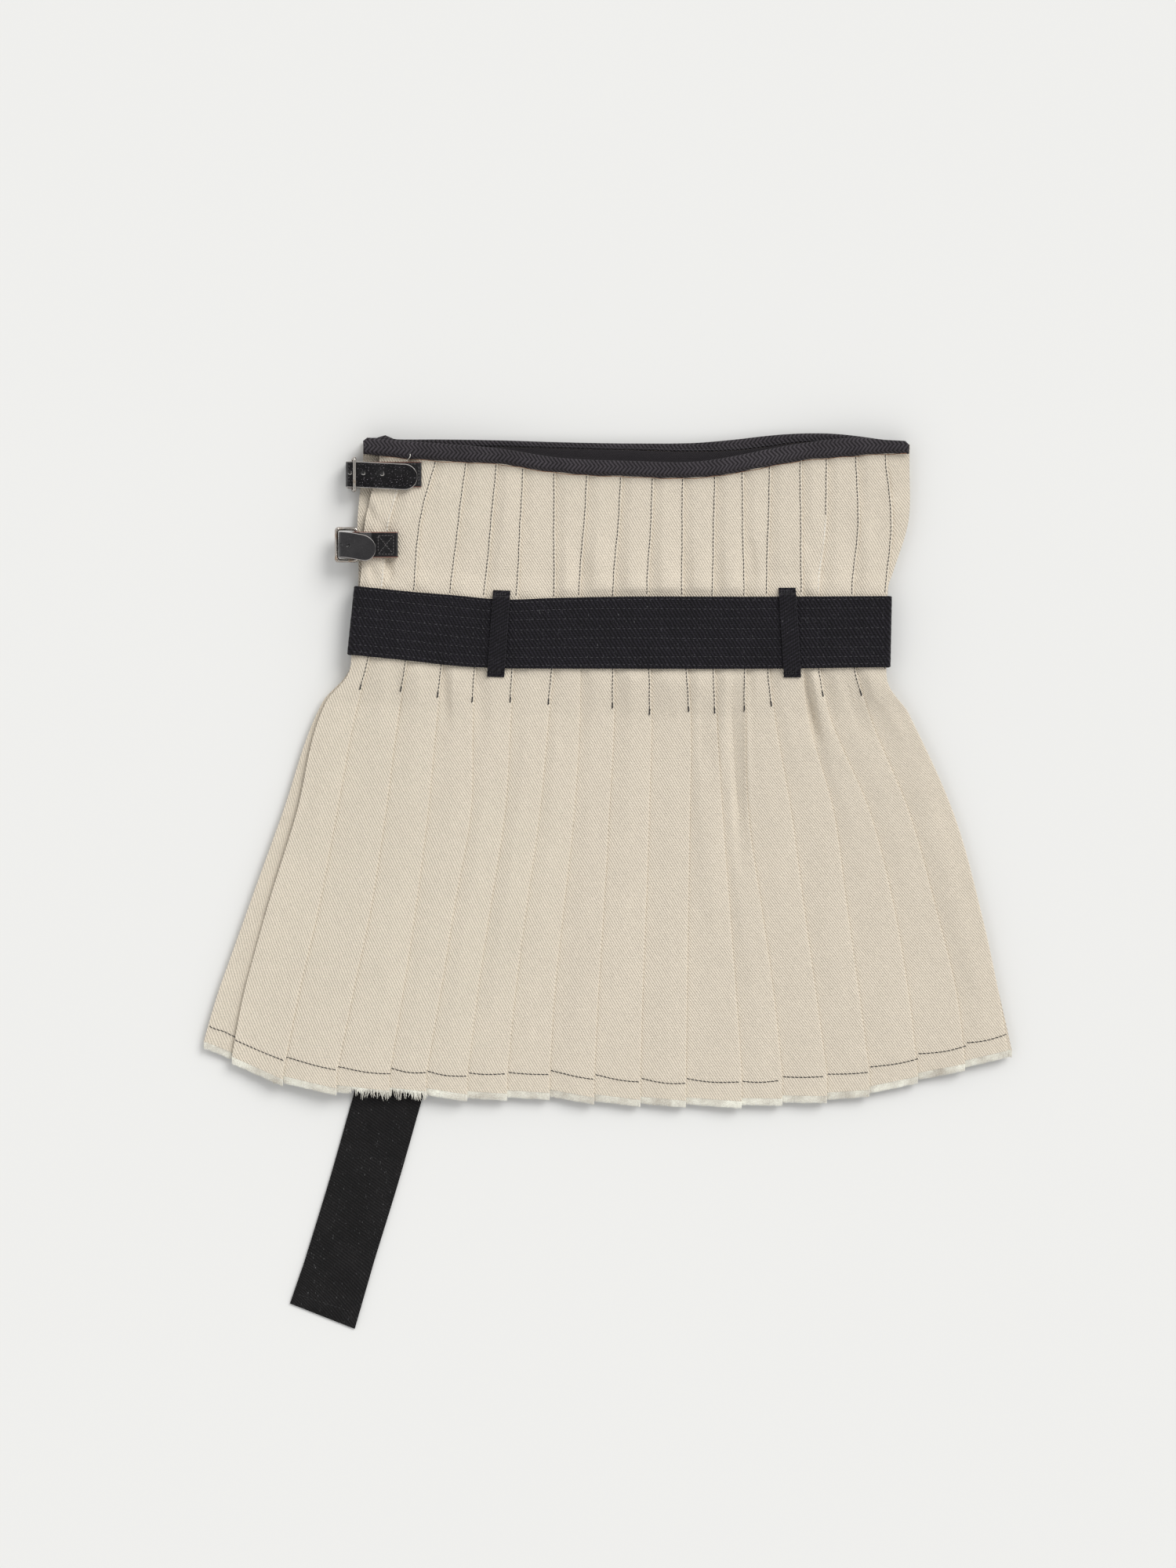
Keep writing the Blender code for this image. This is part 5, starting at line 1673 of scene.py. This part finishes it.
class KILT_OT_sewing(bpy.types.Operator):
    """Sew the pleats, hem, belt, loops and tabs"""

    bl_idname = "kilt.sewing"
    bl_label = "Sewing"

    def execute(self, context):
        self.pleats()
        self.hems()
        self.belts()
        self.edges()
        self.tabs()
        return {"FINISHED"}

    def thread(self, name, paths, material, slot, radius=THREAD_RADIUS):
        show(name, thread_mesh(name, paths, radius, 1), finish(material))

    def pleats(self):
        tree = surface_of("front_cloth")
        black, cream = [], []

        def sew(into, line, pitch, length, tilt=0.06, **ways):
            into += stitches(tree, line, pitch, length, tilt=tilt, **ways)

        for fold, above, foot in PLEAT_THREADS:
            top = edge_at("front_low", FOLDS[fold].waist) - 0.5
            belt_top = edge_at("belt_top", FOLDS[fold].belt_top)
            belt_foot = edge_at("belt_foot", FOLDS[fold].belt_foot)
            low = CREAM_STOP if fold == CREAM_BELOW else belt_top - 1.0
            line = pleat_thread_line(fold, top, low)
            if fold == CREAM_BELOW:
                sew(cream, pleat_thread_line(fold, low, belt_top), PITCH, CREAM_STITCH)
            if above == "black":
                sew(black, line, PITCH, PLEAT_STITCH, sink=0.0)
            else:
                sew(cream, line, PITCH, CREAM_STITCH)
                sew(black, line[:4], PITCH, 1.75)  # the first stitches under the waist are black
            if foot is None:
                continue
            line = pleat_thread_line(fold, belt_foot + 1.0, foot)
            sew(black, line, PITCH, PLEAT_STITCH, sink=0.0)
            tack = pleat_thread_line(fold, foot + TACK_LENGTH, foot - 0.6)
            beside = [(x + 0.3, y) for x, y in tack]
            sew(black, tack, 1.2, TACK_STITCH, tilt=0.12, sink=0.0, thickness=1.3)
            sew(black, beside, 1.7, 1.6, tilt=-0.14, sink=0.0, thickness=1.2)
        sew(cream, pleat_thread_line(0, *LEFT_EDGE_SEWN), PITCH, CREAM_STITCH)
        for name, paths, material in zip(PLEAT_SEWING, (black, cream), ("black_thread", "cream_thread")):
            self.thread(name, paths, material, "cloth")

    def hems(self):
        """The hem's thread, a line for each pleat that leans with its folds."""
        tree = surface_of("front_cloth")
        paths = []
        for pleat, (left, right) in enumerate(zip(FOLDS, FOLDS[1:])):
            lean = (right.low - right.hem) / (HEIGHTS[-2] - HEIGHTS[-1]) * -HEM_THREAD_UP
            drop = right.hem_height - left.hem_height - HEM_STEP
            offset = 0.5 * math.sin(2.7 * pleat)
            line = []
            for t in np.linspace(0.0, 1.0, 16):
                along = left.hem + (right.hem - left.hem) * t
                edge = left.hem_height + HEM_STEP + drop * t
                bow = 0.5 * math.sin(math.pi * t + pleat) - 0.9 * math.sin(math.pi * t)
                line.append((along - lean * 0.2 + 0.5, edge + HEM_THREAD_UP + bow + offset))
            paths += stitches(tree, line, HEM_PITCH, HEM_STITCH, sink=0.0, tilt=0.16)
        line = []
        for x in np.arange(*APRON_HEM_SEWN, 1.5):
            line.append((x, float(hem_height(x)) + APRON_HEM_UP + 10.5 + 0.3 * math.sin(x / 2.0)))
        apron = surface_of("under_apron_cloth")
        paths += stitches(apron, line, HEM_PITCH, HEM_STITCH, sink=0.0, tilt=0.16)
        line = [(x, float(hem_height(x)) + BACK_HEM_UP + 10.8) for x in np.arange(*BACK_HEM_SEWN, 1.5)]
        back = surface_of("back_cloth")
        paths += stitches(back, line, HEM_PITCH, 2.3, sink=0.0, tilt=0.14, from_above=False)
        self.thread("hem_thread", paths, "black_thread", "cloth", HEM_THREAD_RADIUS)

    def belts(self):
        front = surface_of("belt_front_webbing")
        back = surface_of("belt_back_webbing")
        tail = surface_of("belt_tail_webbing")
        paths = []
        for number, down in enumerate(BELT_ROWS_DOWN):
            line = []
            for x in np.arange(*BELT_SEWN, ROW_STEP):
                top, foot = edge_at("belt_top", x), edge_at("belt_foot", x)
                wander = 0.25 * math.sin(x / 23.0 + number * 1.9)
                line.append((x, top - (top - foot) * down / BELT_WIDTH + wander))
            paths += stitches(front, line, BELT_PITCH, 1.7, sink=0.08, tilt=0.08)
            paths += stitches(back, line, BELT_PITCH, 1.9, sink=0.04, tilt=0.05, from_above=False)
        (x, y), (run, fall) = TAIL_SEAM_START, TAIL_SEAM_RUN
        seam = [(x + run * t, y + fall * t) for t in np.linspace(0, 1, 20)]
        sewn = stitches(tail, seam, SEAM_PITCH, SEAM_STITCH, sink=0.15, tilt=0.05)
        # the tail's seam thread is darker, painted shade of its groove
        self.thread("tail_thread", sewn, "tail_thread", "belt", 0.2)
        for place in FRONT_LOOPS:
            loop = surface_of(place.name + "_webbing")
            for past_edge, edge, x in ((2.6, "belt_top", place.x_top), (-2.8, "belt_foot", place.x_foot)):
                y = edge_at(edge, x) + past_edge
                for row_y in (y, y + LOOP_ROW_STEP):
                    ends = [(x - LOOP_SEWN_HALF, row_y), (x + LOOP_SEWN_HALF, row_y)]
                    paths += stitches(loop, ends, LOOP_PITCH, LOOP_STITCH)
        self.thread("belt_thread", paths, "belt_thread", "belt")

    def edges(self):
        """The brown edge thread under the front binding, and the seam line inside the back."""
        tree = surface_of("front_cloth", "front_binding_tape")
        path = []
        for x in np.arange(*EDGE_SEWN, 1.2):
            y = edge_at("front_low", x) - 0.35 + 0.2 * math.sin(x / 3.1)
            z = laid(tree, x, y)
            if z is not None:
                path.append((x, y, z + 0.02, 1.0 + 0.25 * math.sin(x * 1.7)))
        self.thread("binding_edge_thread", [path], "brown_thread", "binding", 0.2)
        loose = []
        for t in np.linspace(0, 1, 9):
            x, y = -121.4 - 2.6 * t + 0.8 * math.sin(4.2 * t), 261.4 - 4.8 * t
            loose.append((x, y, laid(tree, x, y) + 0.15 + 0.9 * math.sin(math.pi * t), 1.0))
        self.thread("loose_thread_end", [loose], "cream_thread", "binding", 0.22)
        inner = surface_of("back_binding_tape", "facing_cotton")
        line = [(x, edge_at("back_seam", x) + 0.9) for x in np.arange(*WAIST_SEWN, 2.0)]
        sewn = stitches(inner, line, SEAM_PITCH, SEAM_STITCH)
        self.thread("waist_thread", sewn, "belt_thread", "binding")

    def tabs(self):
        """A crossed box on the lower tab, and three sides of one on the upper."""
        left, right, foot, top = LOWER_TAB_BOX
        box = [(left, foot), (right, foot), (right, top), (left, top), (left, foot)]
        lower = [box, [(left, foot), (right, top)], [(left, top), (right, foot)]]
        left, right, foot, top = UPPER_TAB_SEAM
        upper = [[(right, foot), (right, top)], [(left, foot), (right, foot)], [(left, top), (right, top)]]
        paths = []
        for name, lines in (("lower_buckle_tab_leather", lower), ("upper_buckle_tab_leather", upper)):
            tree = surface_of(name)
            for line in lines:
                paths += stitches(tree, line, TAB_PITCH, TAB_STITCH)
        self.thread("tab_thread", paths, "tab_thread", "leather", 0.15)


class KILT_OT_fringes(bpy.types.Operator):
    """Fray the hems of the front, the back and the under layer"""

    bl_idname = "kilt.fringes"
    bl_label = "Fringes"

    def execute(self, context):
        sizes = context.scene.kilt_sizes
        for node_name, grid, gap in (
            ("front_fringe", front_grid, 10.0 / sizes.strands),
            ("back_fringe", back_grid, 0.6),
            ("under_apron_fringe", apron_grid, 0.25),
        ):
            lower, upper, _, _ = grid(sizes)
            paths = self.strands((lower[-1] + upper[-1]) / 2, sizes.fringe / MM, gap)
            mesh = thread_mesh(node_name + "_yarn", paths, YARN_RADIUS, 0)
            show(mesh.name, mesh, finish("wool_yarn"), (node_name,))
        return {"FINISHED"}

    def strands(self, edge, length, gap):
        """Yarns that leave the cloth's last row and lie down towards the floor."""
        travel = travelled(edge)
        chance = np.random.default_rng(FRAY_SEED)
        paths = []
        for at in np.arange(gap / 2, travel[-1], gap):
            at = at + chance.uniform(-0.4, 0.4) * gap
            x, y, z = (float(np.interp(at, travel, edge[:, k])) for k in range(3))
            # the yarns are loose where the belt has rubbed them, and lie close together elsewhere
            rubbed = float(ease((RUBBED_HALF - abs(x - RUBBED_X)) / 6.0))
            loose = 0.12 + 0.88 * rubbed
            clump = math.sin(at / 1.9) * 0.5 + math.sin(at / 0.83 + 1.0) * 0.3
            thinned = 0.45 if loose > 0.6 and chance.random() < 0.55 else 1.0
            reach = length * thinned * (0.86 + loose * (0.3 * clump + chance.uniform(-0.35, 0.4)))
            lean = loose * (chance.normal(0.0, 0.6) + 0.4 * math.sin(at / 3.1))
            curl = loose * chance.uniform(-0.8, 0.8)
            fall = min(z - 0.25, 0.5 + 0.4 * loose)
            root = (x, y + 0.7, z, 1.0)
            lower = (x + 0.25 * lean, y - 0.3 * reach, z - 0.15 * fall, 1.0)
            bend = (x + 0.6 * lean + curl * 0.4, y - 0.68 * reach, z - 0.5 * fall, 0.85)
            paths.append([root, lower, bend, (x + lean + curl, y - reach, z - fall, 0.35)])
        return paths


class KILT_OT_cloths(bpy.types.Operator):
    """Build each sheet of cloth's grid again, and list what it lies on and what is sewn to it, though none
    of it is used
    """

    bl_idname = "kilt.cloths"
    bl_label = "Cloths"

    def execute(self, context):
        sizes = context.scene.kilt_sizes
        front_sewn = ["front_fringe_yarn", "front_binding_tape", *PLEAT_SEWING, "hem_thread"]
        back_sewn = ["back_fringe_yarn", "back_binding_tape", "facing_cotton"]
        for name, grid, rests_on, with_pieces in (
            ("front_cloth", front_grid, ["under_apron_cloth", "back_cloth"], front_sewn),
            ("back_cloth", back_grid, ["floor"], back_sewn),
            ("under_apron_cloth", apron_grid, ["back_cloth"], ["under_apron_fringe_yarn"]),
        ):
            lower, upper, _, _ = grid(sizes)
        return {"FINISHED"}


class KILT_OT_stage(bpy.types.Operator):
    """Set the floor, the light and the camera"""

    bl_idname = "kilt.stage"
    bl_label = "Stage"

    def execute(self, context):
        stage = context.scene.kilt_stage
        bm = bmesh.new()
        bmesh.ops.create_grid(bm, x_segments=8, y_segments=8, size=FLOOR_HALF)
        mesh = bpy.data.meshes.new("floor")
        bm.to_mesh(mesh)
        bm.free()
        mesh.materials.append(new_material("pale_floor", floor_material, colour=tuple(stage.floor)))
        floor = bpy.data.objects.new("floor", mesh)
        context.scene.collection.objects.link(floor)
        self.light(context, stage)
        self.camera(context, stage)
        context.scene.view_settings.view_transform = "Standard"
        return {"FINISHED"}

    def light(self, context, stage):
        lamp = bpy.data.lights.new("key", "SUN")
        lamp.angle = math.radians(KEY_WIDTH)
        lamp.energy = stage.key
        lamp.color = KEY_COLOUR
        key = bpy.data.objects.new("key", lamp)
        key.location = KEY_FROM
        key.rotation_euler = (-key.location).to_track_quat("-Z", "Y").to_euler()
        context.scene.collection.objects.link(key)
        world = bpy.data.worlds.new("surround")
        context.scene.world = world
        surround = Shading(world)
        way = surround.node("ShaderNodeTexCoord").outputs["Generated"]
        up = surround.node("ShaderNodeSeparateXYZ", {0: way}).outputs["Z"]
        shade = surround.mixed(surround.fitted(up, *OVERHEAD, 0, 1), WHITE, OVERHEAD_SHADE)
        background = surround.nodes["Background"]
        surround.give(background, {"Strength": stage.sky, "Color": shade})

    def camera(self, context, stage):
        data = bpy.data.cameras.new("camera")
        data.sensor_width = FILM_HEIGHT
        data.lens = FILM_HEIGHT * (stage.camera_height - PICTURE_PLANE * MM) / PICTURE_TALL
        camera = bpy.data.objects.new("camera", data)
        camera.location = (PICTURE_MIDDLE[0] * MM, PICTURE_MIDDLE[1] * MM, stage.camera_height)
        context.scene.collection.objects.link(camera)
        context.scene.camera = camera


class KILT_PT_panel(bpy.types.Panel):
    bl_label = "Mini kilt"
    bl_idname = "KILT_PT_panel"
    bl_space_type = "VIEW_3D"
    bl_region_type = "UI"
    bl_category = "Kilt"

    def draw(self, context):
        layout = self.layout
        scene = context.scene
        for group in (scene.kilt_sizes, scene.kilt_colours, scene.kilt_stage):
            box = layout.box()
            for name in group.bl_rna.properties.keys():
                if name not in ("rna_type", "name"):
                    box.prop(group, name)
        for operator in STEPS:
            layout.operator(operator.bl_idname)


STEPS = (
    KILT_OT_stage,
    KILT_OT_panels,
    KILT_OT_waist,
    KILT_OT_belt,
    KILT_OT_loops,
    KILT_OT_fastenings,
    KILT_OT_sewing,
    KILT_OT_fringes,
    KILT_OT_cloths,
)
CLASSES = (KiltSizes, KiltColours, KiltStage, *STEPS, KILT_PT_panel)


def register():
    for cls in CLASSES:
        bpy.utils.register_class(cls)
    bpy.types.Scene.kilt_sizes = PointerProperty(type=KiltSizes)
    bpy.types.Scene.kilt_colours = PointerProperty(type=KiltColours)
    bpy.types.Scene.kilt_stage = PointerProperty(type=KiltStage)


def unregister():
    del bpy.types.Scene.kilt_stage
    del bpy.types.Scene.kilt_colours
    del bpy.types.Scene.kilt_sizes
    for cls in reversed(CLASSES):
        bpy.utils.unregister_class(cls)


def main():
    register()
    for operator in STEPS:
        group, name = operator.bl_idname.split(".")
        getattr(getattr(bpy.ops, group), name)()


if __name__ == "__main__":
    main()
